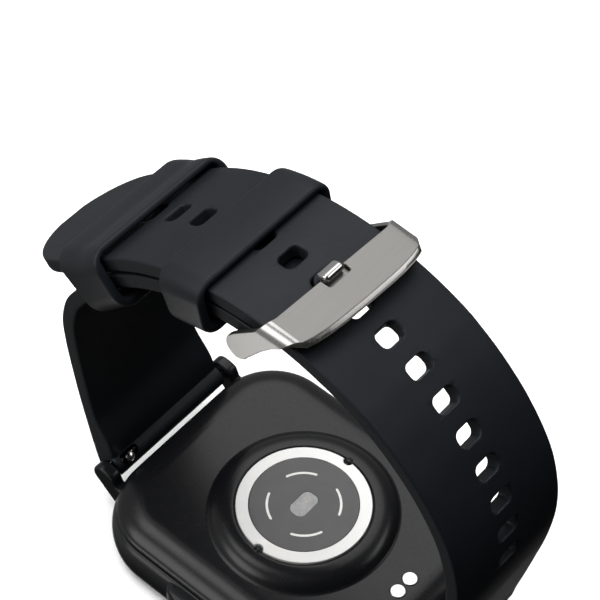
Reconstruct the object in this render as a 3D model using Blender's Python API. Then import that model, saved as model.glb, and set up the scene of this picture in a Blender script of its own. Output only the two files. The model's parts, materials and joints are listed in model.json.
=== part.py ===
"""Smartwatch with a silicone strap, lying face down on its display with the strap buckled.

Frame, in metres: z = 0 is the outer face of the cover glass, +Z points out of the back cover,
+Y towards the 12 o'clock lugs, and -X towards the crown. The origin is the centre of the glass.
"""
import math

import bmesh
import bpy
from mathutils import Matrix, Vector

MM = 0.001

# Case outline: a rounded rectangle whose corner centres stay put while its half sizes change.
CORNER_X = 9.3 * MM
CORNER_Y = 14.1 * MM
CORNER_STEPS = 9
CASE_HALF_WIDTH = 19.5 * MM
FRAME_BOTTOM = 0.55 * MM
FRAME_TOP = 7.0 * MM
WALL_INSIDE = 2.4 * MM
GLASS_THICKNESS = 1.05 * MM
GLASS_INSET = 1.9 * MM
GAP = 0.3 * MM
SEAM = 0.08 * MM

# Back cover and sensor dome.
COVER_BOTTOM = 7.4 * MM
COVER_RIM = 9.3 * MM
BACK_PLANE = 9.9 * MM
DOME_TOP = 11.6 * MM
DOME_RADIUS = 13.2 * MM
RING_TOP = 11.8 * MM
RING_OUTER = 9.4 * MM
RING_INNER = 7.65 * MM
RING_THICKNESS = 1.05 * MM
LENS_RADIUS = 7.5 * MM
SEAT_RADIUS = 6.9 * MM
SEAT_Z = 10.6 * MM
WINDOW_SIZE = (4.0 * MM, 2.4 * MM)
CONTACT_PITCH = 2.54 * MM
CONTACT_RADIUS = 1.05 * MM
CONTACT_Y = -17.8 * MM

# Lugs and spring bars.
LUG_INNER_X = 11.25 * MM
LUG_OUTER_X = 13.1 * MM
BAR_Y = 26.3 * MM
BAR_Z = 7.3 * MM
LUG_TIP_RADIUS = 1.7 * MM
BAR_RADIUS = 0.75 * MM
TIP_RADIUS = 0.4 * MM
TIP_CLEARANCE = 0.1 * MM
STRAP_BORE = 0.95 * MM
STRAP_EYE_RADIUS = 1.55 * MM
KNOB_X = -8.9 * MM
RELEASE_TRAVEL = 1.3 * MM

# Strap loop: near its top it is an arc about this centre in the YZ plane.
LOOP_Y = -0.3 * MM
LOOP_Z = 26.2 * MM
LONG_RADIUS = 37.5 * MM
SHORT_RADIUS = 35.0 * MM
STRAP_THICKNESS = 2.2 * MM
STRAP_END_THICKNESS = 3.7 * MM
STRAP_HALF_WIDTH = 10.2 * MM
STRAP_END_HALF_WIDTH = 10.8 * MM
STRAP_CHAMFER = 0.3 * MM
STRAP_INNER_CHAMFER = 0.5 * MM
STRAP_TIP_LENGTH = 9.2 * MM
STRAP_TIP_FLAT = 0.1 * MM
HOLE_COUNT = 16
HOLE_PITCH = 5.1 * MM
HOLE_SIZE = (3.5 * MM, 2.4 * MM)
FIRST_HOLE_FROM_TIP = 21.45 * MM

# Buckle and keepers.
BUCKLE_BAR_DEG = 90.0
BUCKLE_BAR_LOOP_RADIUS = SHORT_RADIUS - STRAP_THICKNESS / 2
BUCKLE_BAR_RADIUS = 0.6 * MM
BUCKLE_BAR_END_X = 10.85 * MM
BUCKLE_INNER_X = 10.5 * MM
BUCKLE_OUTER_X = 11.4 * MM
BUCKLE_BORE_END_X = 11.0 * MM
PLATE_FRONT_Y = -10.3 * MM
PLATE_REAR_Y = -4.2 * MM
PLATE_CORNER = 2.3 * MM
PLATE_BOTTOM = 64.6 * MM
PLATE_TOP = 65.75 * MM
TONGUE_WIDTH = 3.2 * MM
TONGUE_THICKNESS = 1.1 * MM
TONGUE_SLOT = 4.4 * MM
NOTCH_FRONT_Y = -5.8 * MM
NOTCH_FLOOR_Z = 65.0 * MM
KEEPER_DEG = (74.8, 42.7)
KEEPER_SPAN_DEG = (11.8, 13.6)
KEEPER_RISE = (0.0, 1.4 * MM)
KEEPER_SLACK = (0.0, 0.3 * MM)
KEEPER_DROP = 0.9 * MM
KEEPER_WALL = 1.5 * MM
KEEPER_TOP_WALL_SHARE = 0.8
KEEPER_CLEARANCE = 0.3 * MM

# Crown.
CROWN_Z = 4.4 * MM
CROWN_RADIUS = 3.2 * MM
CROWN_TEETH = 30
CROWN_INNER_X = -21.2 * MM
CROWN_OUTER_X = -23.4 * MM
CROWN_BORE_END_X = -22.5 * MM
GUARD_X = 20.6 * MM
STEM_RADIUS = 0.75 * MM
STEM_BORE = 1.6 * MM

COLOURS = {
    "case_black": ((0.030, 0.030, 0.032), 0.42, 0.0),
    "cover_black": ((0.045, 0.045, 0.047), 0.38, 0.0),
    "glass": ((0.006, 0.006, 0.008), 0.06, 0.0),
    "display": ((0.010, 0.010, 0.012), 0.2, 0.0),
    "gasket": ((0.012, 0.012, 0.012), 0.8, 0.0),
    "sensor_ring": ((0.90, 0.90, 0.88), 0.18, 1.0),
    "lens": ((0.09, 0.09, 0.092), 0.25, 0.0),
    "window": ((0.30, 0.30, 0.30), 0.3, 0.0),
    "contact": ((0.92, 0.91, 0.88), 0.25, 1.0),
    "silicone": ((0.022, 0.023, 0.026), 0.62, 0.0),
    "brushed_steel": ((0.56, 0.55, 0.53), 0.32, 1.0),
    "polished_steel": ((0.72, 0.71, 0.70), 0.12, 1.0),
    "magnet": ((0.55, 0.55, 0.56), 0.3, 1.0),
    "board": ((0.010, 0.075, 0.035), 0.5, 0.0),
    "chassis": ((0.05, 0.05, 0.055), 0.55, 0.0),
    "battery": ((0.45, 0.46, 0.48), 0.4, 0.0),
    "component": ((0.03, 0.03, 0.03), 0.4, 0.0),
}


def clear_scene():
    for obj in list(bpy.data.objects):
        bpy.data.objects.remove(obj, do_unlink=True)


def material(slot):
    found = bpy.data.materials.get(slot)
    if found:
        return found
    colour, roughness, metallic = COLOURS[slot]
    made = bpy.data.materials.new(slot)
    made.use_nodes = True
    shader = made.node_tree.nodes["Principled BSDF"]
    shader.inputs["Base Color"].default_value = (*colour, 1.0)
    shader.inputs["Roughness"].default_value = roughness
    shader.inputs["Metallic"].default_value = metallic
    return made


def add_object(name, mesh, slot, origin=(0, 0, 0)):
    """Links a mesh given in world space, with the object's origin at the given point."""
    mesh.transform(Matrix.Translation(-Vector(origin)))
    mesh.shade_smooth()
    mesh.set_sharp_from_angle(angle=math.radians(32))
    obj = bpy.data.objects.new(name, mesh)
    obj.location = origin
    bpy.context.scene.collection.objects.link(obj)
    if slot:
        obj.data.materials.append(material(slot))
    return obj


def mesh_from_rings(name, rings, closed):
    """Skins equal rings of points. A closed loft joins the last ring to the first, an open one is capped."""
    bm = bmesh.new()
    rows = [[bm.verts.new(point) for point in ring] for ring in rings]
    pairs = list(zip(rows, rows[1:]))
    if closed:
        pairs.append((rows[-1], rows[0]))
    for lower, upper in pairs:
        for i in range(len(lower)):
            j = (i + 1) % len(lower)
            bm.faces.new((lower[i], lower[j], upper[j], upper[i]))
    if not closed:
        bm.faces.new(list(reversed(rows[0])))
        bm.faces.new(rows[-1])
    bmesh.ops.recalc_face_normals(bm, faces=bm.faces)
    mesh = bpy.data.meshes.new(name)
    bm.to_mesh(mesh)
    bm.free()
    return mesh


def boolean(obj, cutter, operation="DIFFERENCE"):
    """Adds an EXACT Boolean with a hidden wire cutter."""
    cutter.hide_render = True
    cutter.display_type = "WIRE"
    cutter.parent = obj
    cutter.matrix_parent_inverse = Matrix.Translation(-obj.location)
    modifier = obj.modifiers.new(cutter.name, "BOOLEAN")
    modifier.object = cutter
    modifier.operation = operation
    modifier.solver = "EXACT"


def rounded_rectangle(grow, z):
    """Case outline whose corner radius is grow, about the fixed corner centres."""
    points = []
    for corner, (sx, sy) in enumerate(((1, 1), (-1, 1), (-1, -1), (1, -1))):
        for step in range(CORNER_STEPS):
            angle = math.radians(90 * (corner + step / (CORNER_STEPS - 1)))
            x = sx * CORNER_X + grow * math.cos(angle)
            y = sy * CORNER_Y + grow * math.sin(angle)
            points.append((x, y, z))
    return points


def circle(radius, z):
    """Ring with as many points as the case outline, and in step with it."""
    count = 4 * CORNER_STEPS
    angles = [math.tau * (i + 0.5) / count for i in range(count)]
    return [(radius * math.cos(a), radius * math.sin(a), z) for a in angles]


def turned(name, profile, centre, axis="Z", steps=24, tooth=0.0):
    """Mesh turned from (radius, height) points about an axis through centre. Its ends lie on the axis."""
    rings = []
    for radius, height in profile:
        ring = []
        for i in range(steps):
            angle = math.tau * i / steps
            reach = radius - (tooth if i % 2 and radius > tooth * 8 else 0.0)
            ring.append(Vector((reach * math.cos(angle), reach * math.sin(angle), height)))
        rings.append(ring)
    turn = {"Z": Matrix(), "X": Matrix.Rotation(math.pi / 2, 4, "Y")}[axis]
    place = Matrix.Translation(centre) @ turn
    return mesh_from_rings(name, [[place @ p for p in ring] for ring in rings], False)


def cylinder(name, radius, low, high, centre, axis="Z", steps=24):
    return turned(name, ((radius, low), (radius, high)), centre, axis, steps)


def tube(name, outer, inner, low, high, centre, axis="Z", steps=24):
    """Ring or sleeve with a through bore."""
    turn = {"Z": Matrix(), "X": Matrix.Rotation(math.pi / 2, 4, "Y")}[axis]
    place = Matrix.Translation(centre) @ turn
    rings = []
    for radius, height in ((outer, low), (outer, high), (inner, high), (inner, low)):
        angles = [math.tau * i / steps for i in range(steps)]
        ring = [Vector((radius * math.cos(a), radius * math.sin(a), height)) for a in angles]
        rings.append([place @ p for p in ring])
    return mesh_from_rings(name, rings, True)


def box(name, low, high):
    (x0, y0, z0), (x1, y1, z1) = low, high
    rings = [[(x0, y0, z), (x1, y0, z), (x1, y1, z), (x0, y1, z)] for z in (z0, z1)]
    return mesh_from_rings(name, rings, False)


def centred_box(name, centre, size):
    low = [c - s / 2 for c, s in zip(centre, size)]
    high = [c + s / 2 for c, s in zip(centre, size)]
    return box(name, low, high)


def side_plate(name, outline, x_low, x_high):
    """Plate in the YZ plane: outline holds (y, z) points."""
    rings = [[(x, y, z) for y, z in outline] for x in (x_low, x_high)]
    return mesh_from_rings(name, rings, False)


def slot_outline(length, width, steps=6):
    """Rounded slot about the origin, long along its first axis."""
    radius = width / 2
    reach = length / 2 - radius
    points = []
    for side in (1, -1):
        for i in range(steps + 1):
            angle = math.pi * (i / steps - 0.5)
            points.append((side * (reach + radius * math.cos(angle)), side * radius * math.sin(angle)))
    return points


def arc(centre, radius, start_deg, end_deg, steps):
    turns = [math.radians(start_deg + (end_deg - start_deg) * i / steps) for i in range(steps + 1)]
    return [(centre[0] + radius * math.cos(t), centre[1] + radius * math.sin(t)) for t in turns]


def loop_point(radius, degrees):
    turn = math.radians(degrees)
    return (LOOP_Y + radius * math.cos(turn), LOOP_Z + radius * math.sin(turn))


# ---------------------------------------------------------------- case

def case_profile():
    """(corner radius, z) points round the frame's wall, from the lower outside corner."""
    outside = CASE_HALF_WIDTH - CORNER_X
    inside = outside - WALL_INSIDE
    pocket = outside - GLASS_INSET + GAP
    ledge = pocket - 2.0 * MM
    return (
        (outside - 0.8 * MM, FRAME_BOTTOM),
        (outside - 0.25 * MM, 1.6 * MM),
        (outside, 3.2 * MM),
        (outside - 0.05 * MM, 4.8 * MM),
        (outside - 0.4 * MM, 6.3 * MM),
        (outside - 0.85 * MM, FRAME_TOP),
        (inside, FRAME_TOP),
        (inside, 2.75 * MM),
        (ledge, 2.35 * MM),
        (ledge, 1.45 * MM),
        (pocket, 1.45 * MM),
        (pocket, FRAME_BOTTOM),
    )


def lug_outline():
    tip = arc((BAR_Y, BAR_Z), LUG_TIP_RADIUS, -55, 100, 8)
    before = [(22.2 * MM, 2.4 * MM), (24.4 * MM, 3.0 * MM)]
    behind = [(24.2 * MM, 8.0 * MM), (23.7 * MM, 6.9 * MM), (22.2 * MM, 6.7 * MM)]
    return before + tip + behind


def add_lugs(frame):
    for side_y in (1, -1):
        for side_x in (1, -1):
            outline = [(side_y * y, z) for y, z in lug_outline()]
            ends = sorted((side_x * LUG_INNER_X, side_x * LUG_OUTER_X))
            mesh = side_plate("lug", outline, *ends)
            boolean(frame, add_object("lug_blank", mesh, None), "UNION")
    for side_y in (1, -1):
        centre = (0, side_y * BAR_Y, BAR_Z)
        reach = LUG_OUTER_X - 0.45 * MM
        bore = cylinder("bore", TIP_RADIUS + TIP_CLEARANCE, -reach, reach, centre, "X", 16)
        boolean(frame, add_object("lug_bore", bore, None))


def crown_guard():
    """Raised pad on the crown side, with sloping ends, that the crown sits on."""
    low, high = 2.0 * MM, 6.6 * MM
    inside = -(CASE_HALF_WIDTH - 1.2 * MM)
    rings = []
    for x, half in ((inside, 8.6 * MM), (-GUARD_X + 0.5 * MM, 7.4 * MM), (-GUARD_X, 5.6 * MM)):
        rings.append([(x, -half, low), (x, half, low), (x, half, high), (x, -half, high)])
    return mesh_from_rings("guard", rings, False)


def build_case_frame():
    rings = [rounded_rectangle(grow, z) for grow, z in case_profile()]
    frame = add_object("case_frame", mesh_from_rings("case_frame", rings, True), "case_black")
    boolean(frame, add_object("crown_guard_blank", crown_guard(), None), "UNION")
    add_lugs(frame)
    centre = (0, 0, CROWN_Z)
    bore = cylinder("bore", STEM_BORE, -GUARD_X - MM, -14 * MM, centre, "X", 24)
    boolean(frame, add_object("crown_bore", bore, None))


def cover_rings():
    """Rings round the back cover's wall: outer skin, dome, sensor seat, then the inside back to the rim."""
    outer = [(COVER_RIM, COVER_BOTTOM), (COVER_RIM - 0.15 * MM, 8.0 * MM)]
    outer += [(COVER_RIM - 0.8 * MM, 8.8 * MM), (COVER_RIM - 2.0 * MM, 9.5 * MM)]
    outer.append((COVER_RIM - 4.0 * MM, BACK_PLANE))
    dome = [(DOME_RADIUS, BACK_PLANE), (DOME_RADIUS - 0.25 * MM, BACK_PLANE + 0.3 * MM)]
    dome.append((DOME_RADIUS - 1.0 * MM, DOME_TOP - 0.65 * MM))
    dome.append((DOME_RADIUS - 1.9 * MM, DOME_TOP - 0.2 * MM))
    dome += [(DOME_RADIUS - 3.0 * MM, DOME_TOP), (RING_OUTER + 0.35 * MM, DOME_TOP)]
    seat = [(RING_OUTER + 0.35 * MM, SEAT_Z), (SEAT_RADIUS, SEAT_Z), (SEAT_RADIUS, 9.7 * MM)]
    seat += [(11.0 * MM, 9.7 * MM), (12.0 * MM, 8.7 * MM)]
    inner = [(4.1 * MM, 8.7 * MM), (6.5 * MM, 8.3 * MM), (7.6 * MM, COVER_BOTTOM)]
    rings = [rounded_rectangle(grow, z) for grow, z in outer]
    rings += [circle(radius, z) for radius, z in dome + seat]
    rings += [rounded_rectangle(grow, z) for grow, z in inner]
    return rings


def contact_places():
    return [(side * CONTACT_PITCH / 2, CONTACT_Y, 0) for side in (-1, 1)]


def build_back_cover():
    cover = add_object("back_cover", mesh_from_rings("back_cover", cover_rings(), True), "cover_black")
    for place in contact_places():
        hole = cylinder("hole", CONTACT_RADIUS + 0.1 * MM, 7 * MM, 11 * MM, place, steps=20)
        boolean(cover, add_object("contact_hole", hole, None))


def build_seals():
    outside = CASE_HALF_WIDTH - CORNER_X
    glass_out = outside - GLASS_INSET - 0.2 * MM
    levels = (GLASS_THICKNESS + SEAM, 1.45 * MM - SEAM)
    flat_ring("glass_gasket", glass_out, glass_out - 1.2 * MM, levels)
    levels = (FRAME_TOP + SEAM, COVER_BOTTOM - SEAM)
    flat_ring("back_gasket", 8.9 * MM, 8.1 * MM, levels)


def flat_ring(name, outer, inner, levels):
    low, high = levels
    corners = ((outer, low), (outer, high), (inner, high), (inner, low))
    rings = [rounded_rectangle(grow, z) for grow, z in corners]
    add_object(name, mesh_from_rings(name, rings, True), "gasket")


def build_glass():
    edge = CASE_HALF_WIDTH - CORNER_X - GLASS_INSET
    levels = [(edge - 0.75 * MM, 0), (edge - 0.2 * MM, 0.16 * MM)]
    levels += [(edge, 0.5 * MM), (edge, GLASS_THICKNESS)]
    rings = [rounded_rectangle(grow, z) for grow, z in levels]
    add_object("cover_glass", mesh_from_rings("cover_glass", rings, False), "glass")


def build_display():
    edge = 6.2 * MM
    rings = [rounded_rectangle(edge, z) for z in (1.3 * MM, 2.1 * MM)]
    add_object("display_module", mesh_from_rings("display_module", rings, False), "display")


# ---------------------------------------------------------------- inside the case

def screw_places():
    return [(sx * 12.0 * MM, sy * 16.0 * MM, 0) for sy in (1, -1) for sx in (1, -1)]


def build_chassis():
    edge = 7.1 * MM
    rings = [rounded_rectangle(edge, z) for z in (3.05 * MM, 3.55 * MM)]
    chassis = add_object("inner_chassis", mesh_from_rings("inner_chassis", rings, False), "chassis")
    for place in screw_places():
        boss = cylinder("boss", 1.5 * MM, 3.2 * MM, 6.1 * MM, place, steps=14)
        boolean(chassis, add_object("boss_blank", boss, None), "UNION")
    for place in screw_places():
        hole = cylinder("hole", 0.75 * MM, 3.9 * MM, 7 * MM, place, steps=12)
        boolean(chassis, add_object("boss_hole", hole, None))


def build_board():
    edge = 5.6 * MM
    rings = [rounded_rectangle(edge, z) for z in (6.3 * MM, 7.0 * MM)]
    board = add_object("main_board", mesh_from_rings("main_board", rings, False), "board")
    for place in screw_places():
        hole = cylinder("hole", 0.75 * MM, 6 * MM, 8 * MM, place, steps=12)
        boolean(board, add_object("board_hole", hole, None))


def build_screws():
    shank, head = 0.55 * MM, 1.15 * MM
    profile = ((shank, 4.2 * MM), (shank, 7.08 * MM), (head, 7.08 * MM), (head, 7.65 * MM))
    for number, place in enumerate(screw_places(), 1):
        name = f"board_screw_{number}"
        add_object(name, turned(name, profile, place, steps=14), "polished_steel", place)


def build_inside_blocks():
    blocks = (
        ("battery", (3.5, -2.5, 4.85), (16, 24, 2.3), "battery"),
        ("speaker", (-9.5, -10.8, 4.9), (8, 5, 2.2), "component"),
        ("microphone", (7.5, 14.5, 4.4), (3.4, 2.4, 1.2), "component"),
        ("crown_switch", (-13.5, 0.0, CROWN_Z / MM), (2.2, 4.4, 1.6), "component"),
        ("optical_sensor", (0.0, 0.0, 10.0), (4.4, 2.8, 0.8), "component"),
    )
    for name, centre, size, slot in blocks:
        centre = [c * MM for c in centre]
        size = [s * MM for s in size]
        add_object(name, centred_box(name, centre, size), slot)
    motor = cylinder("vibration_motor", 4.0 * MM, 3.7 * MM, 6.0 * MM, (-8.9 * MM, 10.4 * MM, 0))
    add_object("vibration_motor", motor, "magnet")


# ---------------------------------------------------------------- sensor and charging

def build_sensor():
    bottom = RING_TOP - RING_THICKNESS
    ring = tube("sensor_ring", RING_OUTER, RING_INNER, bottom, RING_TOP, (0, 0, 0), steps=48)
    ring = add_object("sensor_ring", ring, "sensor_ring")
    for side in (1, -1):
        place = (side * (RING_OUTER + 0.1 * MM), 0, 0)
        notch = cylinder("notch", 0.75 * MM, 10 * MM, 13 * MM, place, steps=14)
        boolean(ring, add_object("ring_notch", notch, None))
    lens_top = RING_TOP - 0.05 * MM
    lens = cylinder("sensor_lens", LENS_RADIUS, lens_top - MM, lens_top, (0, 0, 0), steps=48)
    lens = add_object("sensor_lens", lens, "lens")
    length, width = WINDOW_SIZE
    opening = slot_outline(length + 0.2 * MM, width + 0.2 * MM)
    rings = [[(x, y, z) for x, y in opening] for z in (10 * MM, 13 * MM)]
    boolean(lens, add_object("lens_window_hole", mesh_from_rings("hole", rings, False), None))
    outline = slot_outline(length, width)
    rings = [[(x, y, z) for x, y in outline] for z in (lens_top - MM, lens_top - 0.04 * MM)]
    add_object("sensor_window", mesh_from_rings("sensor_window", rings, False), "window")
    board = cylinder("sensor_board", 6.5 * MM, 8.9 * MM, 9.5 * MM, (0, 0, 0))
    add_object("sensor_board", board, "board")


def build_charging():
    head, tail = CONTACT_RADIUS, 0.5 * MM
    profile = [(tail, 7.3 * MM), (tail, 9.0 * MM), (head, 9.0 * MM)]
    profile += [(head, 9.9 * MM), (head - 0.2 * MM, 10.0 * MM)]
    for number, place in enumerate(contact_places(), 1):
        name = f"charge_contact_{number}"
        add_object(name, turned(name, profile, place, steps=20), "contact", place)
    for number, side in enumerate((-1, 1), 1):
        name = f"charge_magnet_{number}"
        place = (side * 5.5 * MM, -15.5 * MM, 0)
        add_object(name, cylinder(name, 1.8 * MM, 7.6 * MM, 8.4 * MM, place, steps=18), "magnet")


# ---------------------------------------------------------------- crown

def build_crown():
    axis_point = (0, 0, CROWN_Z)
    bore = STEM_RADIUS + 0.15 * MM
    edge = CROWN_RADIUS - 0.35 * MM
    profile = [(edge, CROWN_INNER_X), (CROWN_RADIUS, CROWN_INNER_X - 0.3 * MM)]
    profile += [(CROWN_RADIUS, CROWN_OUTER_X + 0.4 * MM), (edge, CROWN_OUTER_X), (bore, CROWN_OUTER_X)]
    cap_mesh = turned("crown_cap", profile, axis_point, "X", 2 * CROWN_TEETH, 0.14 * MM)
    cap = add_object("crown_cap", cap_mesh, "case_black", (CROWN_INNER_X, 0, CROWN_Z))
    hole = cylinder("hole", bore, CROWN_BORE_END_X, CROWN_INNER_X + MM, axis_point, "X", 16)
    boolean(cap, add_object("crown_cap_bore", hole, None))
    stem = cylinder("crown_stem", STEM_RADIUS, -22.2 * MM, -16.6 * MM, axis_point, "X", 16)
    add_object("crown_stem", stem, "polished_steel", (-19.0 * MM, 0, CROWN_Z))
    outer, inner = STEM_BORE - 0.1 * MM, STEM_RADIUS + 0.1 * MM
    seal = tube("crown_seal", outer, inner, -18.9 * MM, -18.2 * MM, axis_point, "X", 20)
    add_object("crown_seal", seal, "gasket", (-18.5 * MM, 0, CROWN_Z))
    plunger = cylinder("crown_plunger", 0.7 * MM, -16.4 * MM, -15.3 * MM, axis_point, "X", 16)
    add_object("crown_plunger", plunger, "component", (-16.0 * MM, 0, CROWN_Z))


# ---------------------------------------------------------------- strap

def smooth_path(points, steps=4):
    """Catmull-Rom curve through (y, z) points."""
    first = [2 * a - b for a, b in zip(points[0], points[1])]
    last = [2 * a - b for a, b in zip(points[-1], points[-2])]
    guide = [first, *points, last]
    path = []
    for i in range(1, len(guide) - 2):
        before, start, end, after = guide[i - 1 : i + 3]
        for step in range(steps):
            t = step / steps
            place = []
            for a, b, c, d in zip(before, start, end, after):
                cubic = 2 * b + (c - a) * t + (2 * a - 5 * b + 4 * c - d) * t**2
                place.append((cubic + (3 * b - a - 3 * c + d) * t**3) / 2)
            path.append(tuple(place))
    path.append(tuple(points[-1]))
    return path


def long_strap_path():
    """Outer face from the 6 o'clock lugs up, over the top arc, and on to the free tip."""
    side = [(-28.4, 5.8), (-28.9, 8.6), (-29.9, 13.0), (-31.2, 19.0), (-32.6, 26.0), (-33.3, 33.0)]
    side += [(-32.8, 39.0), (-30.9, 45.2), (-27.0, 51.3), (-22.4, 56.0)]
    points = [(y * MM, z * MM) for y, z in side]
    points.append(loop_point(LONG_RADIUS, 118))
    top = [loop_point(LONG_RADIUS, 118 - 4.0 * i) for i in range(1, 20)]
    tip = [(y * MM, z * MM) for y, z in ((32.2, 47.7), (36.8, 44.2), (41.6, 40.5))]
    return smooth_path(points) + top + smooth_path([top[-1], *tip])[1:]


def short_strap_path():
    """Outer face from the 12 o'clock lugs up and under the long strap to the buckle bar."""
    side = [(29.2, 5.8), (29.9, 8.6), (31.1, 13.4), (32.5, 19.0), (33.6, 25.0), (34.1, 30.5)]
    side += [(34.0, 34.5), (32.7, 39.3)]
    points = [(y * MM, z * MM) for y, z in side]
    points.append(loop_point(SHORT_RADIUS, 30))
    top = [loop_point(SHORT_RADIUS, 30 + 4.0 * i) for i in range(1, 16)]
    return smooth_path(points) + top + [loop_point(SHORT_RADIUS, BUCKLE_BAR_DEG + 2.0)]


def ease(value):
    value = min(max(value, 0.0), 1.0)
    return value * value * (3 - 2 * value)


def measured(path):
    """Distance along the path at each of its points."""
    run = [0.0]
    for (y0, z0), (y1, z1) in zip(path, path[1:]):
        run.append(run[-1] + math.hypot(y1 - y0, z1 - z0))
    return run


def outward(path, index, side):
    """Unit normal of the path that points out of the loop. side is +1 where the path turns anticlockwise."""
    (y0, z0), (y1, z1) = path[max(index - 1, 0)], path[min(index + 1, len(path) - 1)]
    length = math.hypot(y1 - y0, z1 - z0)
    return Vector((0, side * (z1 - z0) / length, -side * (y1 - y0) / length))


def bar_section(point, normal, half_width, thickness, chamfer, inner_chamfer):
    """Eight-sided section: its outer face is at point, and normal points out."""
    outline = (
        (-half_width + chamfer, 0),
        (half_width - chamfer, 0),
        (half_width, -chamfer),
        (half_width, inner_chamfer - thickness),
        (half_width - inner_chamfer, -thickness),
        (-half_width + inner_chamfer, -thickness),
        (-half_width, inner_chamfer - thickness),
        (-half_width, -chamfer),
    )
    base = Vector((0, *point))
    return [base + Vector((x, 0, 0)) + normal * depth for x, depth in outline]


def strap_mesh(name, path, side, tip_length):
    run = measured(path)
    rings = []
    for i, point in enumerate(path):
        swell = 1 - ease((run[i] - 4 * MM) / (6 * MM))
        thickness = STRAP_THICKNESS + (STRAP_END_THICKNESS - STRAP_THICKNESS) * swell
        flare = 1 - ease(run[i] / (22 * MM))
        half_width = STRAP_HALF_WIDTH + (STRAP_END_HALF_WIDTH - STRAP_HALF_WIDTH) * flare
        left = run[-1] - run[i] + STRAP_TIP_FLAT
        if left < tip_length:
            half_width *= math.sqrt(1 - (1 - left / tip_length) ** 2)
        normal = outward(path, i, side)
        chamfers = (STRAP_CHAMFER, STRAP_INNER_CHAMFER)
        rings.append(bar_section(point, normal, half_width, thickness, *chamfers))
    return mesh_from_rings(name, rings, False)


def with_tip_stations(path, tip_length):
    """Spaces the stations of the free end so that they follow its arched outline evenly."""
    run = measured(path)
    kept = [point for point, at in zip(path, run) if run[-1] - at > tip_length * 1.05]
    arched = []
    for degrees in (90, 76, 62, 49, 37, 26, 17):
        left = tip_length * (1 - math.cos(math.radians(degrees)))
        arched.append(tuple(point_at(path, run, run[-1] - left)[0]))
    return [*kept, *arched, path[-1]]


def add_strap_eye(strap, side_y):
    """Round eye for the spring bar, its bore, and the slot that the release knob moves in."""
    centre = (0, side_y * BAR_Y, BAR_Z)
    half = STRAP_END_HALF_WIDTH
    eye = cylinder("eye", STRAP_EYE_RADIUS, -half, half, centre, "X", 24)
    boolean(strap, add_object("strap_eye", eye, None), "UNION")
    bore = cylinder("bore", STRAP_BORE, -half - MM, half + MM, centre, "X", 20)
    boolean(strap, add_object("strap_bore", bore, None))
    low, high = KNOB_X - 1.0 * MM, KNOB_X + RELEASE_TRAVEL + 1.0 * MM
    window = box("window", (low, -0.85 * MM, 0), (high, 0.85 * MM, 6 * MM))
    window.transform(Matrix.Translation(centre) @ Matrix.Rotation(side_y * math.radians(38), 4, "X"))
    boolean(strap, add_object("knob_window", window, None))


def point_at(path, run, distance):
    """Point and index at a distance along the path."""
    for i in range(1, len(run)):
        if run[i] >= distance:
            t = (distance - run[i - 1]) / (run[i] - run[i - 1])
            return [a + (b - a) * t for a, b in zip(path[i - 1], path[i])], i
    return path[-1], len(path) - 1


def punch_holes(strap, path, side):
    """Adjustment holes, one pitch apart, counted back from the free tip. One cutter holds them all."""
    run = measured(path)
    bm = bmesh.new()
    for number in range(HOLE_COUNT):
        point, index = point_at(path, run, run[-1] - FIRST_HOLE_FROM_TIP - number * HOLE_PITCH)
        normal = outward(path, index, side)
        along = normal.cross(Vector((1, 0, 0)))
        base = Vector((0, *point))
        rows = []
        for depth in (-4 * MM, 2 * MM):
            shape = slot_outline(HOLE_SIZE[0], HOLE_SIZE[1], 5)
            level = base + normal * depth
            row = [level + Vector((x, 0, 0)) + along * a for x, a in shape]
            rows.append([bm.verts.new(point) for point in row])
        lower, upper = rows
        for i in range(len(lower)):
            j = (i + 1) % len(lower)
            bm.faces.new((lower[i], lower[j], upper[j], upper[i]))
        bm.faces.new(list(reversed(lower)))
        bm.faces.new(upper)
    bmesh.ops.recalc_face_normals(bm, faces=bm.faces)
    mesh = bpy.data.meshes.new("strap_holes")
    bm.to_mesh(mesh)
    bm.free()
    boolean(strap, add_object("strap_holes", mesh, None))


def build_long_strap():
    path = with_tip_stations(long_strap_path(), STRAP_TIP_LENGTH)
    mesh = strap_mesh("strap_long", path, -1, STRAP_TIP_LENGTH)
    strap = add_object("strap_long", mesh, "silicone", (0, -BAR_Y, BAR_Z))
    add_strap_eye(strap, -1)
    punch_holes(strap, path, -1)


def build_short_strap():
    path = short_strap_path()
    mesh = strap_mesh("strap_short", path, 1, 0.0)
    strap = add_object("strap_short", mesh, "silicone", (0, BAR_Y, BAR_Z))
    add_strap_eye(strap, 1)
    y, z = loop_point(BUCKLE_BAR_LOOP_RADIUS, BUCKLE_BAR_DEG)
    half = STRAP_HALF_WIDTH
    bore = cylinder("bore", BUCKLE_BAR_RADIUS + 0.12 * MM, -half - MM, half + MM, (0, y, z), "X", 16)
    boolean(strap, add_object("buckle_bore", bore, None))
    low = (-TONGUE_SLOT / 2, y - 4 * MM, z - 3 * MM)
    high = (TONGUE_SLOT / 2, y + 1.9 * MM, z + 3 * MM)
    boolean(strap, add_object("tongue_slot", box("slot", low, high), None))


def build_spring_bars():
    for side_y, clock in ((1, "12"), (-1, "6")):
        centre = (0, side_y * BAR_Y, BAR_Z)
        name = f"spring_bar_{clock}"
        barrel = tube(name, BAR_RADIUS, 0.5 * MM, -6.7 * MM, 10.6 * MM, centre, "X", 18)
        add_object(name, barrel, "polished_steel", centre)
        name = f"fixed_tip_{clock}"
        tip = cylinder(name, TIP_RADIUS, 8.5 * MM, 12.3 * MM, centre, "X", 14)
        add_object(name, tip, "polished_steel", centre)
        build_release_pin(f"release_pin_{clock}", centre, side_y)


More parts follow.
